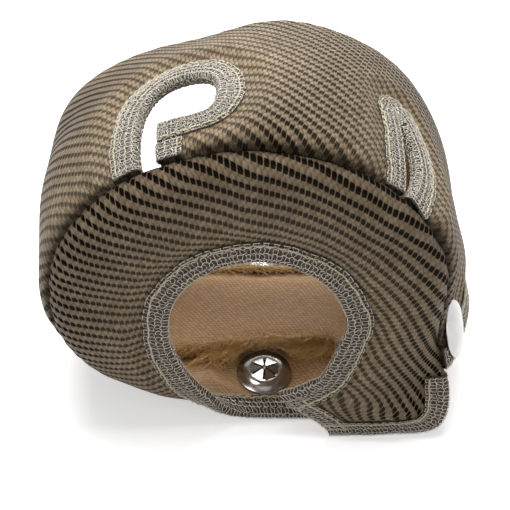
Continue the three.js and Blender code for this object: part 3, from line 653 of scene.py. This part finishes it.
heights, numbers = [], []
for shift, centre in ((0.0, 0.30), (0.5, 0.68)):
    turn = calc(twill, "ADD", run, shift)
    length_of = hump(calc(twill, "FRACT", turn), 0.5, 0.5)
    heights.append(calc(twill, "MULTIPLY", length_of, hump(inside_rib, centre, 0.34)))
    numbers.append(calc(twill, "FLOOR", turn))
top = calc(twill, "MAXIMUM", *heights)
second = calc(twill, "GREATER_THAN", heights[1], heights[0])
step_on = calc(twill, "SUBTRACT", numbers[1], numbers[0])
own = calc(twill, "MULTIPLY_ADD", second, step_on, numbers[0])
number = calc(twill, "MULTIPLY_ADD", second, 0.37, own)
which = twill.nodes.new("ShaderNodeCombineXYZ")
twill.links.new(number, which.inputs["X"])
twill.links.new(calc(twill, "FLOOR", rib), which.inputs["Y"])
dice = twill.nodes.new("ShaderNodeTexWhiteNoise")
twill.links.new(which.outputs[0], dice.inputs["Vector"])
strand = twill.nodes.new("ShaderNodeCombineXYZ")
twill.links.new(calc(twill, "MULTIPLY", run, 7.0), strand.inputs["X"])
twill.links.new(calc(twill, "MULTIPLY", rib, 1.6), strand.inputs["Y"])
twill.links.new(calc(twill, "POWER", top, 0.55), put["Height"])
border = calc(twill, "MINIMUM", inside_rib, calc(twill, "SUBTRACT", 1.0, inside_rib))
along_gap = hump(calc(twill, "FRACT", calc(twill, "ADD", run, 0.2)), 0.5, 0.43)
spot = calc(twill, "MULTIPLY", along_gap, hump(border, 0.0, 0.25))
twill.links.new(calc(twill, "MINIMUM", calc(twill, "MULTIPLY", spot, 3.4), 1.0), put["Gap"])
twill.links.new(dice.outputs["Value"], put["Float"])
twill.links.new(noise(twill, strand.outputs[0], 1.0, 2), put["Fibre"])

def marked(tree, label):
    """A value that the cloth's mesh carries at its points."""
    node = tree.nodes.new("ShaderNodeAttribute")
    node.attribute_name = label
    return node.outputs["Fac"]


cover_cloth, tree, shader = tree_of("basalt twill", (0.2, 0.16, 0.1), 0.55, specular=0.35)
flat = cloth_place(tree)
weave = use(tree, twill, Vector=flat, Pitch=2.75, Rib=4.9, Slant=-0.75, Wander=3.0)
light = blend(tree, weave["Float"], (0.26, 0.185, 0.11), (0.43, 0.33, 0.215))
between_fibres = calc(tree, "MULTIPLY", calc(tree, "SUBTRACT", 1.0, weave["Fibre"]), 0.5)
light = blend(tree, between_fibres, light, (0.16, 0.12, 0.072))
# painted shade on the low sides of each float, between the crowns
sides = calc(tree, "SUBTRACT", 1.0, weave["Height"])
shaded = blend(tree, calc(tree, "MULTIPLY", sides, 0.62), light, (0.06, 0.041, 0.023))
# painted shade: the gaps between the ribs are painted near black, more strongly where the cloth's slack and
# shade mark is high
gap = calc(tree, "MULTIPLY", weave["Gap"], calc(tree, "MULTIPLY_ADD", marked(tree, "slack_and_shade"), 0.55, 0.45))
# painted shade: the cloth is darkened where this mark is high, most on the front panel, which faces forward
# away from the lamps
shaded = blend(tree, calc(tree, "MULTIPLY", marked(tree, "slack_and_shade"), 0.5), shaded, (0.045, 0.028, 0.013))
shaded = blend(tree, gap, shaded, (0.003, 0.002, 0.001))
# painted shade: the cloth darkens to near black along each seam's crease
shaded = blend(tree, calc(tree, "MULTIPLY", marked(tree, "crease_shade"), 0.85), shaded, (0.008, 0.006, 0.004))
patch = calc(tree, "MULTIPLY_ADD", noise(tree, flat, 0.03, 2), 0.5, 0.75)
tint = tree.nodes.new("ShaderNodeCombineColor")
for channel in ("Red", "Green", "Blue"):
    tree.links.new(patch, tint.inputs[channel])
paint(tree, shader, blend(tree, 1.0, shaded, tint.outputs[0], "MULTIPLY"))
tree.links.new(calc(tree, "MULTIPLY_ADD", sides, 0.3, 0.48), shader.inputs["Roughness"])
# the painted shade of the gaps and creases also loses its specular, so it stays black
hidden = calc(tree, "MAXIMUM", gap, marked(tree, "crease_shade"))
tree.links.new(calc(tree, "MULTIPLY_ADD", hidden, -0.22, 0.22), shader.inputs["Specular IOR Level"])
raised = calc(tree, "MULTIPLY_ADD", weave["Fibre"], 0.18, weave["Height"])
relief = calc(tree, "SUBTRACT", raised, calc(tree, "MULTIPLY", gap, 0.8))
bump(tree, shader, relief, 0.9)

lining_cloth, tree, shader = tree_of("silica lining", (0.3, 0.18, 0.1), 0.62, specular=0.3)
flat = cloth_place(tree)
weave = use(tree, twill, Vector=flat, Pitch=2.4, Rib=1.9, Slant=-0.6, Wander=2.0)
tone = blend(tree, weave["Float"], (0.66, 0.42, 0.22), (0.82, 0.56, 0.32))
# painted shade in the low parts of the lining's weave
hollow = calc(tree, "MULTIPLY", calc(tree, "SUBTRACT", 1.0, weave["Height"]), 0.75)
tone = blend(tree, hollow, tone, (0.24, 0.125, 0.055))
# painted shade: the lining darkens along the seams
tone = blend(tree, calc(tree, "MULTIPLY", marked(tree, "crease_shade"), 0.85), tone, (0.03, 0.016, 0.008))
worn = calc(tree, "MULTIPLY", noise(tree, flat, 0.05, 2), 0.3)
paint(tree, shader, blend(tree, worn, tone, (0.40, 0.24, 0.125)))
bump(tree, shader, weave["Height"], 0.4)

mat_felt, tree, shader = tree_of("needled mat", (0.72, 0.68, 0.58), 0.95, specular=0.1)
flat = cloth_place(tree)
fluff = noise(tree, flat, 1.6, 6)
paint(tree, shader, blend(tree, fluff, (0.6, 0.55, 0.45), (0.8, 0.77, 0.7)))
bump(tree, shader, fluff, 0.6)

CLOTH_THICK, LINING_THICK, MAT_GAP = 1.2, 0.8, 0.3
PITCH = {"front": 1.7, "band": 1.7, "rear": 2.3}
TWILL_TURN = math.radians(39)
for panel in ("front", "band", "rear"):
    k, s, d, length = wall_grid(panel, PITCH[panel])
    flat_k, flat_d, flat_length = k.ravel(), d.ravel(), length.ravel()
    here = on_panel(panel, flat_d, flat_k)[0]
    normal = normal_at(panel, flat_d, flat_k)
    outer, inner, edge, seam = halves(panel, flat_d, flat_k, flat_length, here)
    u = length_at(np.maximum(flat_k, 0)) + np.minimum(flat_k, 0) * 40
    outer = outer + drape(u, flat_d, edge, seam, 0.8)
    inner = inner + drape(u + 300, flat_d, edge, seam, 0.3)
    keep = np.ones((k.shape[0] - 1, k.shape[1] - 1), bool)
    if panel == "band":
        middle_u = length_at(k)[:-1, :-1] + np.diff(length_at(k), axis=0)[:, :-1] / 2
        middle_d = (d[:-1, :-1] + d[1:, 1:]) / 2
        for path in (NOTCH, SLOT):
            keep &= ~inside_path(middle_u.ravel(), middle_d.ravel(), path).reshape(keep.shape)
    grid = here.reshape(*k.shape, 3)
    if panel == "band":
        angle = np.full(k.shape, TWILL_TURN)
    else:
        # a flat C of cloth keeps one grain; on the right it is drawn down towards the flap
        steep = np.full(k.shape, 0.35)
        if panel == "front":
            to_right, up = ease((grid[..., 0] - 5) / 75), ease((grid[..., 2] - 60) / 90)
            steep = 0.3 + 1.75 * to_right * (1 - 0.55 * up)
        ring, across = cloth_axes(grid)
        rows = np.stack([np.ones_like(steep), 0 * steep, -steep], -1)
        angle = np.unwrap(np.arctan2((rows * across).sum(-1), (rows * ring).sum(-1)), axis=0)
        turned = np.argmin(np.abs(k[:, 0] - 9.6))
        angle[turned:] = angle[turned]
    rows_u, rows_v = lay_flat(grid, angle)
    uv = np.stack([rows_u.ravel(), rows_v.ravel()], -1)
    along_u, along_v = lay_flat(grid, np.zeros(k.shape))
    plain_uv = np.stack([along_u.ravel(), along_v.ravel()], -1)
    shape = (*k.shape, 3)
    # how loose the weave lies, which also sets how much painted shade the cloth gets
    loose_weave_and_shade = ease((edge - 10) / 30) * (0.55 + 0.45 * np.sin(u / 31 + 1) * np.cos(flat_d / 23))
    # on the front panel the mark rises from the opening towards the seam, darkening the forward-facing
    # panel with painted shade
    if panel == "front":
        loose_weave_and_shade = 0.35 + 0.65 * ease((flat_d - 12) / 50)

    def at(w):
        return (here + normal * np.asarray(w)[:, None]).reshape(shape)

    # painted shade along the seams, strongest in the crease where two panels meet; it also takes the
    # specular off the cloth there
    crease_shade = np.exp(-((seam / 3.2) ** 2)) * ease(flat_k + 0.5)
    marks = {"slack_and_shade": loose_weave_and_shade, "crease_shade": crease_shade}
    cover = shell(f"{panel}_outer_cloth", at(outer - CLOTH_THICK), at(outer), keep, uv, cover_cloth, marks)
    lining_top, marks = -inner + LINING_THICK, {"crease_shade": crease_shade}
    lining = shell(f"{panel}_lining_cloth", at(-inner), at(lining_top), keep, plain_uv, lining_cloth, marks)
    mat_low = lining_top + MAT_GAP
    mat_top = np.maximum(outer - CLOTH_THICK - MAT_GAP, mat_low + 0.2)
    mat = shell(f"{panel}_mat", at(mat_low), at(mat_top), keep, plain_uv, mat_felt)
    for layer, part in ((cover, "cover"), (lining, "lining"), (mat, "insulation")):
        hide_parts(f"{panel}_{part}")

# Edge tape. Knitted stainless wire tape, folded over every free edge and sewn through
# with cream glass thread; each tape is a folded strip under the wire loops of its knit.
FOLD = [
    (12.0, 2.95), (9.0, 2.9), (6.0, 2.9), (3.0, 2.9),
    (0.6, 2.75), (-0.5, 2.1), (-1.0, 1.0), (-1.1, 0.0),
]
FOLD = np.array(FOLD + [(a, -b) for a, b in reversed(FOLD[:-1])])
fold_run = np.concatenate([[0], np.cumsum(np.hypot(*np.diff(FOLD, axis=0).T))])


def panel_edge(panel, rear_side):
    def at(k, d, w):
        inset = panel_length(panel, k) - d if rear_side else d
        return place(panel, inset, k, w)
    return at


def panel_end(panel, end):
    side = -1 if end == LAST else 1

    def at(share, d, w):
        def on(k, lift):
            k = np.broadcast_to(np.asarray(k, float), share.shape)
            return place(panel, share * panel_length(panel, k), k, lift)
        stride = np.linalg.norm(on(end, 0) - on(end + side * 0.3, 0), axis=1) / 0.3
        found = on(end + side * np.maximum(d, 0) / stride, w)
        beyond = unit(on(end, w) - on(end + side * 0.1, w))
        return found + beyond * np.maximum(-d, 0)[:, None]
    return at


def smooth_run(path, pitch):
    """Evenly spaced points along a path on the flat band, with its corners eased."""
    run = distance_along(path)
    even = np.linspace(0, run[-1], max(int(run[-1] / pitch), 6) + 1)
    found = np.stack([np.interp(even, run, path[:, i]) for i in (0, 1)], -1)
    for _ in range(2):
        found[1:-1] = (found[:-2] + 2 * found[1:-1] + found[2:]) / 4
    return found


def round_hole(path):
    points = smooth_run(path, 1.5)
    tangent = unit(np.gradient(points, axis=0))

    def at(i, d, w):
        p = np.stack([np.interp(i, np.arange(len(points)), points[:, j]) for j in (0, 1)], -1)
        t = unit(np.stack([np.interp(i, np.arange(len(points)), tangent[:, j]) for j in (0, 1)], -1))
        q = p + np.stack([t[:, 1], -t[:, 0]], -1) * d[:, None]
        return place("band", q[:, 1], station_at(np.maximum(q[:, 0], 0)), w)
    return at, np.arange(len(points), dtype=float)


def even_stations(at, start, stop, pitch):
    """Values between start and stop that lie evenly along the edge."""
    fine = np.linspace(start, stop, 500)
    line = at(fine, np.zeros(500), np.zeros(500))
    run = distance_along(line)
    return np.interp(np.linspace(0, run[-1], max(int(run[-1] / pitch), 4) + 1), run, fine)


TAPES = {}
for name, at, start, stop in (
    ("opening", panel_edge("front", False), FIRST, LAST),
    ("flap", panel_edge("front", True), FIRST, -0.12),
    ("slit", panel_end("front", FIRST), 0.05, 0.9),
    ("rear_opening", panel_edge("rear", True), 0, LAST),
    ("band_end", panel_end("band", 0), 0.0, 1.0),
    ("rear_end", panel_end("rear", 0), 0.0, 0.75),
    ("tail_front_end", panel_end("front", LAST), 0.26, 1.0),
    ("tail_band_end", panel_end("band", LAST), 0.0, 1.0),
    ("tail_rear_end", panel_end("rear", LAST), 0.0, 0.74),
):
    TAPES[name] = (at, even_stations(at, start, stop, 1.5))
for name, path in (("notch", NOTCH), ("notch_tab", TAB), ("slot", SLOT)):
    TAPES[name] = round_hole(path)


def tubes(name, lines, ups, radius, sides, material):
    """One mesh of thin round strands along polylines; ups are the directions out of the cloth."""
    points, faces, ends, uv, base = [], [], [], [], 0
    turn = np.linspace(0, 2 * math.pi, sides, endpoint=False)
    for line, up in zip(lines, ups):
        tangent = unit(np.gradient(line, axis=0))
        side = unit(np.cross(tangent, up))
        lift = np.cross(side, tangent)
        ring = side[:, None] * np.cos(turn)[None, :, None] + lift[:, None] * np.sin(turn)[None, :, None]
        points.append((line[:, None] + ring * radius).reshape(-1, 3))
        run = distance_along(line)
        uv.append(np.stack([np.repeat(run, sides), np.tile(turn, len(line))], -1))
        number = base + np.arange(len(line) * sides).reshape(len(line), sides)
        nxt = np.roll(number, -1, axis=1)
        faces.append(np.stack([number[:-1], nxt[:-1], nxt[1:], number[1:]], -1).reshape(-1, 4))
        ends += [number[0][::-1].tolist(), number[-1].tolist()]
        base += len(line) * sides
    return mesh_piece(name, np.vstack(points), np.vstack(faces).tolist() + ends, np.vstack(uv), material)




def tape_ground(name, dark, light):
    """The strip under the loops: finer wires of the knit, with painted shade, near black, in the pits
    between them.
    """
    made, tree, shader = tree_of(name, light, 0.6, metallic=0.1, specular=0.25)
    weave = use(tree, twill, Vector=cloth_place(tree), Pitch=1.5, Rib=3.0, Slant=0.5, Wander=1.0)
    # painted shade: the knit's pits between the finer wires go near black
    spots = calc(tree, "MULTIPLY", weave["Height"], calc(tree, "MULTIPLY_ADD", weave["Float"], 0.7, 0.4))
    paint(tree, shader, blend(tree, spots, dark, light))
    bump(tree, shader, weave["Height"], 0.5)
    return made


tape_mesh = tape_ground("wire tape ground", (0.012, 0.008, 0.005), (0.17, 0.13, 0.09))
new_tape_mesh = tape_ground("clean wire tape ground", (0.015, 0.013, 0.011), (0.2, 0.185, 0.16))
wire, tree, shader = tree_of("stainless wire", (0.6, 0.57, 0.52), 0.4, metallic=0.45)
flat = cloth_place(tree)
paint(tree, shader, blend(tree, noise(tree, flat, 0.6, 2), (0.34, 0.30, 0.24), (0.86, 0.81, 0.72)))
thread, tree, shader = tree_of("cream glass thread", (0.72, 0.65, 0.42), 0.55)
flat = cloth_place(tree)
split = tree.nodes.new("ShaderNodeSeparateXYZ")
tree.links.new(flat, split.inputs[0])
around = calc(tree, "MULTIPLY", split.outputs["Y"], 2.0)
ply = calc(tree, "SINE", calc(tree, "MULTIPLY_ADD", split.outputs["X"], 5.2, around))
twisted = calc(tree, "MULTIPLY_ADD", ply, 0.3, 0.3)
paint(tree, shader, blend(tree, twisted, (0.74, 0.68, 0.47), (0.42, 0.35, 0.2)))
bump(tree, shader, ply, 0.1)

CLEAN_TAPES = ("notch", "notch_tab", "slot")
WIRE_RADIUS, THREAD_RADIUS = 0.22, 0.42
STITCH_PITCH, STITCH_INSET = 4.6, 1.9
STITCH_RISE = np.array([-0.2, 0.45, 0.75, 0.75, 0.45, -0.2])
for name, (at, stations) in TAPES.items():
    n, m = len(stations), len(FOLD)
    a = np.repeat(stations, m)
    wobble = 0.35 * np.sin(np.arange(n) * 0.31 + len(name)) + 0.2 * np.sin(np.arange(n) * 0.83)
    inward = np.tile(FOLD[:, 0], n) + np.repeat(wobble, m) * (np.tile(FOLD[:, 0], n) > 8)
    rise = np.tile(FOLD[:, 1], n)
    grid = at(a, inward, rise).reshape(n, m, 3)
    core = at(a, np.maximum(inward, -0.4) , rise * 0.8).reshape(n, m, 3)
    run = distance_along(grid[:, 3])
    uv = np.stack([np.repeat(run, m), np.tile(fold_run, n)], -1)
    ground = new_tape_mesh if name in CLEAN_TAPES else tape_mesh
    tape = shell(f"{name}_tape", core, grid, np.ones((n - 1, m - 1), bool), uv, ground)
    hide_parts(f"{name}_binding")
    # wire loops over the strip, found between the strip's own points
    normals = np.cross(np.gradient(grid, axis=0), np.gradient(grid, axis=1))
    middle = (grid[:, 0] + grid[:, -1]) / 2
    if ((grid[:, 0] - middle) * normals[:, 0]).sum() < 0:
        normals = -normals
    normals = unit(normals)

    def over(run_at, fold_at, lift):
        i = np.clip(np.interp(run_at, run, np.arange(n)), 0, n - 1.001)
        j = np.clip(np.interp(fold_at, fold_run, np.arange(m)), 0, m - 1.001)
        i0, j0 = i.astype(int), j.astype(int)
        fi, fj = (i - i0)[:, None], (j - j0)[:, None]

        def mixed(values):
            near, far = (values[i0, j] * (1 - fi) + values[i0 + 1, j] * fi for j in (j0, j0 + 1))
            return near * (1 - fj) + far * fj

        out = unit(mixed(normals))
        return mixed(grid) + out * lift[:, None], out

    lines, ups = [], []
    knit_rows = [(4.0, row, 2.0) for row in np.arange(0.9, fold_run[-1] - 0.4, 3.5)]
    if name in CLEAN_TAPES:
        knit_rows = [(3.2, row, 1.6) for row in np.arange(0.9, fold_run[-1] - 0.4, 2.9)]
        knit_rows += [(4.3, row, 2.2) for row in np.arange(2.1, fold_run[-1] - 1, 3.8)]
    for loop, row, reach in knit_rows:
        loops = max(int(run[-1] / loop), 1)
        t = np.linspace(0, 2 * math.pi * loops, 8 * loops + 1)
        loose = rng.normal(0, 0.28, loops * 8 + 1)
        run_at = t / (2 * math.pi) * run[-1] / loops + 0.19 * loop * np.sin(2 * t) + loose
        fold_at = row + reach * np.cos(t) + 0.35 * np.sin(t / 9 + row) + rng.normal(0, 0.15, loops * 8 + 1)
        run_at, fold_at = np.clip(run_at, 0, run[-1]), np.clip(fold_at, 0, fold_run[-1])
        line, out = over(run_at, fold_at, 0.4 + 0.28 * np.cos(2 * t))
        lines.append(line)
        ups.append(out)
    knit = tubes(f"{name}_wire", lines, ups, WIRE_RADIUS, 3, wire)
    # lock stitches near the tape's outer edge, on the outside and the inside
    lines, ups = [], []
    for row in (STITCH_INSET, fold_run[-1] - STITCH_INSET):
        for begin in np.arange(1.5, run[-1] - 4, STITCH_PITCH):
            sway = 0.5 * math.sin(begin / 17 + row)
            run_at = begin + np.array([0, 0.5, 1.6, 2.8, 3.9, 4.4])
            line, out = over(run_at, np.full(6, row + sway) + rng.normal(0, 0.12), STITCH_RISE)
            lines.append(line)
            ups.append(out)
    seam_line = tubes(f"{name}_stitches", lines, ups, THREAD_RADIUS, 5, thread)

# Seam allowances. Inside each seam the raw cloth edges stand up as a gold ridge, bound
# over with overlock thread, and their cut yarns fray out into loose fibres.
frayed, tree, shader = tree_of("frayed cloth edge", (0.46, 0.31, 0.15), 0.8, specular=0.25)
flat = cloth_place(tree)
stretched = tree.nodes.new("ShaderNodeMapping")
stretched.inputs["Scale"].default_value = (2.4, 0.5, 1)
tree.links.new(flat, stretched.inputs["Vector"])
yarns = noise(tree, stretched.outputs[0], 1.0, 4)
paint(tree, shader, blend(tree, yarns, (0.3, 0.16, 0.05), (0.9, 0.6, 0.26)))
bump(tree, shader, yarns, 0.5)
fibre, tree, shader = tree_of("loose gold fibre", (0.62, 0.44, 0.21), 0.5)
flat = cloth_place(tree)
paint(tree, shader, blend(tree, noise(tree, flat, 0.3, 2), (0.6, 0.34, 0.1), (1.0, 0.72, 0.34)))
OVERLOCK_RADIUS, FIBRE_RADIUS = 0.3, 0.15
RIDGE = np.array([
    (-1.2, 0), (-1.35, 2.5), (-1.3, 5), (-0.9, 7), (0, 7.7),
    (0.9, 7), (1.3, 5), (1.35, 2.5), (1.2, 0), (0, -0.4),
])
for name, at_rear, frays, loose_from in (("front", False, 2400, 12.4), ("rear", True, 1500, 12.0)):
    fine = np.linspace(0.4, LAST - 0.4, 700)
    measure = panel_length("band", fine) if at_rear else np.zeros(700)
    line = on_panel("band", measure, fine)[0]
    run = distance_along(line)
    n, m = int(run[-1] / 1.5), len(RIDGE)
    k = np.interp(np.linspace(0, run[-1], n), run, fine)
    at_k = panel_length("band", k) if at_rear else np.zeros(n)
    axis = normal_at("band", at_k, k)
    foot = on_panel("band", at_k, k)[0] - axis * 3.7
    across = on_panel("band", at_k - 0.5 if at_rear else at_k + 0.5, k)[0] - on_panel("band", at_k, k)[0]
    across = unit(across - axis * (across * axis).sum(1, keepdims=True))
    lean = 0.9 * np.sin(np.arange(n) * 0.11) + 0.5 * np.sin(np.arange(n) * 0.37 + 2)
    rough = rng.normal(0, 0.13, (n, m))
    tall = 1 + 0.09 * np.sin(np.arange(n) * 0.23) + rng.normal(0, 0.03, n)
    if at_rear:
        tall = tall * (1 - 0.62 * ease((k - 12.5) / 1.2))
    x = RIDGE[:, 0] * (1 + rough) + (lean[:, None] * RIDGE[:, 1] / 8)
    y = RIDGE[:, 1] * tall[:, None]
    rings = foot[:, None] + across[:, None] * x[..., None] - axis[:, None] * y[..., None]
    number = np.arange(n * m).reshape(n, m)
    after = np.roll(number, -1, axis=1)
    faces = np.stack([number[:-1], after[:-1], after[1:], number[1:]], -1).reshape(-1, 4).tolist()
    faces += [number[0][::-1].tolist(), number[-1].tolist()]
    uv = np.stack([np.repeat(np.linspace(0, run[-1], n), m), np.tile(np.arange(m) * 2.0, n)], -1)
    ridge = mesh_piece(f"{name}_seam_ridge", rings.reshape(-1, 3), faces, uv, frayed)
    bpy.context.view_layer.objects.active = ridge
    ridge.select_set(True)
    bpy.ops.object.mode_set(mode="EDIT")
    bpy.ops.mesh.select_all(action="SELECT")
    bpy.ops.mesh.normals_make_consistent(inside=False)
    bpy.ops.object.mode_set(mode="OBJECT")
    ridge.select_set(False)
    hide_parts(f"{name}_seam_allowance")

    low = tall if at_rear else np.ones(n)

    def beside(place_i, x, y):
        """Points by the ridge: place_i along it in stations, x across it and y up from its foot."""
        i = np.clip(place_i, 0, n - 1.001)
        i0, f = i.astype(int), (i - i.astype(int))[:, None]
        y = y * low[i0]
        mixed = [v[i0] * (1 - f) + v[i0 + 1] * f for v in (foot, across, axis)]
        return mixed[0] + mixed[1] * (x + lean[i0] * y / 8)[:, None] - mixed[2] * y[:, None], mixed[1]

    lines, ups = [], []
    for begin in np.arange(1, n - 3, 2.3):
        over_x = np.array([-1.7, -1.75, -1.2, 0, 1.2, 1.75, 1.7])
        over_y = np.array([0.6, 4.5, 7.4, 8.3, 7.4, 4.5, 0.6])
        line, up = beside(begin + np.linspace(0, 1.5, 7) + rng.normal(0, 0.15), over_x, over_y)
        lines.append(line)
        ups.append(up)
    bound = tubes(f"{name}_overlock_thread", lines, ups, OVERLOCK_RADIUS, 5, thread)
    lines, ups = [], []
    start_i = np.interp(loose_from, k, np.arange(n))
    for number_of in range(frays):
        begin = rng.uniform(start_i, n - 3) if number_of % 3 else rng.uniform(0, n - 3)
        length = rng.uniform(3, 9 if begin > start_i else 5)
        slope, side = rng.uniform(-1, 1), rng.uniform(-1, 1)
        t = np.linspace(0, 1, 5)
        curl = rng.uniform(-1, 1)
        x = side * 1.2 + side * length * 0.75 * t**1.3 + curl * 0.8 * np.sin(t * 3)
        y = rng.uniform(3, 7.6) + length * (0.5 * t - 0.55 * t**2) * rng.uniform(0.2, 1)
        line, up = beside(begin + slope * length / 1.5 * t + curl * 0.6 * t**2, x, np.clip(y, 0.8, 10))
        lines.append(line)
        ups.append(up)
    # round the washer on the tail the front allowance has come apart into a golden tangle
    patch_from, patch_to = np.interp([14.15, 15.75], k, np.arange(n))
    for _ in range(0 if at_rear else 1900):
        begin = rng.uniform(patch_from, patch_to)
        length, slope, curl = rng.uniform(4, 13), rng.uniform(-1.2, 1.2), rng.uniform(-1, 1)
        t = np.linspace(0, 1, 6)
        x = rng.uniform(-8, 1) - length * rng.uniform(0.1, 0.8) * t + curl * 1.2 * np.sin(t * 4)
        y = rng.uniform(0.9, 4.5) + 1.6 * np.sin(t * 3.1) * rng.uniform(0, 1) + (x > -2) * rng.uniform(0, 3)
        line, up = beside(begin + slope * length / 1.5 * t + curl * 0.8 * t**2, x, y)
        if np.linalg.norm(line - pins["front_tail"][0], axis=1).min() > 17.2:
            lines.append(line)
            ups.append(up)
    fringe = tubes(f"{name}_loose_fibres", lines, ups, FIBRE_RADIUS, 3, fibre)

# Lacing anchors. A polished domed disc lies on the outer cloth, and its pin goes
# through the wall to the inside, where a locking washer is pressed on.
steel, tree, shader = tree_of("polished stainless", (0.5, 0.49, 0.48), 0.14, metallic=1.0)
spot_of = tree.nodes.new("ShaderNodeTexCoord")
smudge = noise(tree, spot_of.outputs["Object"], 260, 3)
tree.links.new(calc(tree, "MULTIPLY_ADD", smudge, 0.2, 0.1), shader.inputs["Roughness"])
cloudy = noise(tree, spot_of.outputs["Object"], 90, 2)
paint(tree, shader, blend(tree, cloudy, (0.3, 0.295, 0.29), (0.46, 0.45, 0.44)))


def turned(name, profile):
    """A round piece on the Z axis, drawn out ring by ring along its profile (radius, height)."""
    bpy.ops.object.select_all(action="DESELECT")
    first, height = profile[0]
    bpy.ops.mesh.primitive_circle_add(vertices=56, radius=first * MM, location=(0, 0, height * MM))
    made = bpy.context.object
    bpy.ops.object.transform_apply(location=True)
    made.name = name
    bpy.ops.object.mode_set(mode="EDIT")
    bpy.ops.mesh.select_all(action="SELECT")
    for (r0, z0), (r1, z1) in zip(profile, profile[1:]):
        bpy.ops.mesh.extrude_region_move(TRANSFORM_OT_translate={"value": (0, 0, (z1 - z0) * MM)})
        bpy.ops.transform.resize(value=(r1 / r0, r1 / r0, 1), center_override=(0, 0, 0))
    bpy.ops.mesh.select_all(action="SELECT")
    bpy.ops.mesh.remove_doubles(threshold=0.00005)
    bpy.ops.mesh.normals_make_consistent(inside=False)
    bpy.ops.object.mode_set(mode="OBJECT")
    return made


def prong(foot_radius, foot_height, tip_radius, tip_height, half_width):
    """One gripping tooth: a thin plate that leans in and up, and narrows to its tip."""
    bpy.ops.object.select_all(action="DESELECT")
    bpy.ops.mesh.primitive_cube_add(size=1)
    made = bpy.context.object
    made.scale = ((foot_radius - tip_radius) * MM, 2 * half_width * MM, 0.6 * MM)
    made.location = ((foot_radius + tip_radius) / 2 * MM, 0, foot_height * MM)
    bpy.ops.object.transform_apply(location=True, rotation=False, scale=True)
    bpy.ops.object.mode_set(mode="EDIT")
    bpy.ops.mesh.select_all(action="DESELECT")
    bpy.ops.object.mode_set(mode="OBJECT")
    for corner in made.data.vertices:
        corner.select = corner.co.x < (foot_radius + tip_radius) / 2 * MM
    bpy.ops.object.mode_set(mode="EDIT")
    bpy.ops.transform.resize(value=(1, 0.12, 1), center_override=(0, 0, 0))
    bpy.ops.transform.translate(value=(0, 0, (tip_height - foot_height) * MM))
    bpy.ops.object.mode_set(mode="OBJECT")
    return made


SEAT = 3.1
for name, (centre, out) in pins.items():
    lift = 2.4 if name.endswith("right") else 0.0
    tip = -(3.9 + lift + 4.5)
    disc = turned(f"{name}_disc", [
        (0.02, tip), (0.9, tip), (1.4, tip + 1), (1.4, SEAT), (14.2, SEAT),
        (14.85, SEAT + 0.25), (15, SEAT + 0.6), (14.7, SEAT + 0.95), (13.6, SEAT + 1.15),
        (11.5, SEAT + 1.75), (8.5, SEAT + 2.35), (5, SEAT + 2.7), (2.5, SEAT + 2.8), (0.02, SEAT + 2.82),
    ])
    foot = SEAT + lift
    washer = turned(f"{name}_locking_washer", [
        (14.4, -foot), (15, -foot - 0.25), (14.8, -foot - 0.65), (13.6, -foot - 0.95),
        (12, -foot - 1.9), (9.6, -foot - 2.7), (7.4, -foot - 2.75), (6.9, -foot - 2.5), (7.2, -foot - 2.2),
        (9.4, -foot - 2.1), (11.6, -foot - 1.4), (13.3, -foot - 0.4), (14.4, -foot),
    ])
    teeth = []
    for i in range(6):
        tooth = prong(7.6, -foot - 2.45, 1.7, -foot - 4.0, 3.3)
        turn_by = math.radians(60 * i + 12)
        tooth.data.transform(Matrix.Rotation(turn_by, 4, "Z"))
        teeth.append(tooth)
    bpy.ops.object.select_all(action="DESELECT")
    for tooth in teeth:
        tooth.select_set(True)
    washer.select_set(True)
    bpy.context.view_layer.objects.active = washer
    bpy.ops.object.join()
    stand = Vector(out.tolist()).to_track_quat("Z", "Y").to_matrix().to_4x4()
    stand.translation = Vector(((centre + SHIFT) * MM).tolist())
    for piece, node in ((disc, f"{name}_anchor"), (washer, f"{name}_washer")):
        piece.data.transform(stand)
        bpy.ops.object.select_all(action="DESELECT")
        piece.select_set(True)
        bpy.context.view_layer.objects.active = piece
        bpy.ops.object.shade_smooth_by_angle(angle=math.radians(32))
        piece.data.materials.append(steel)
        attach(piece, "root")
        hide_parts(node)
bpy.ops.object.select_all(action="DESELECT")
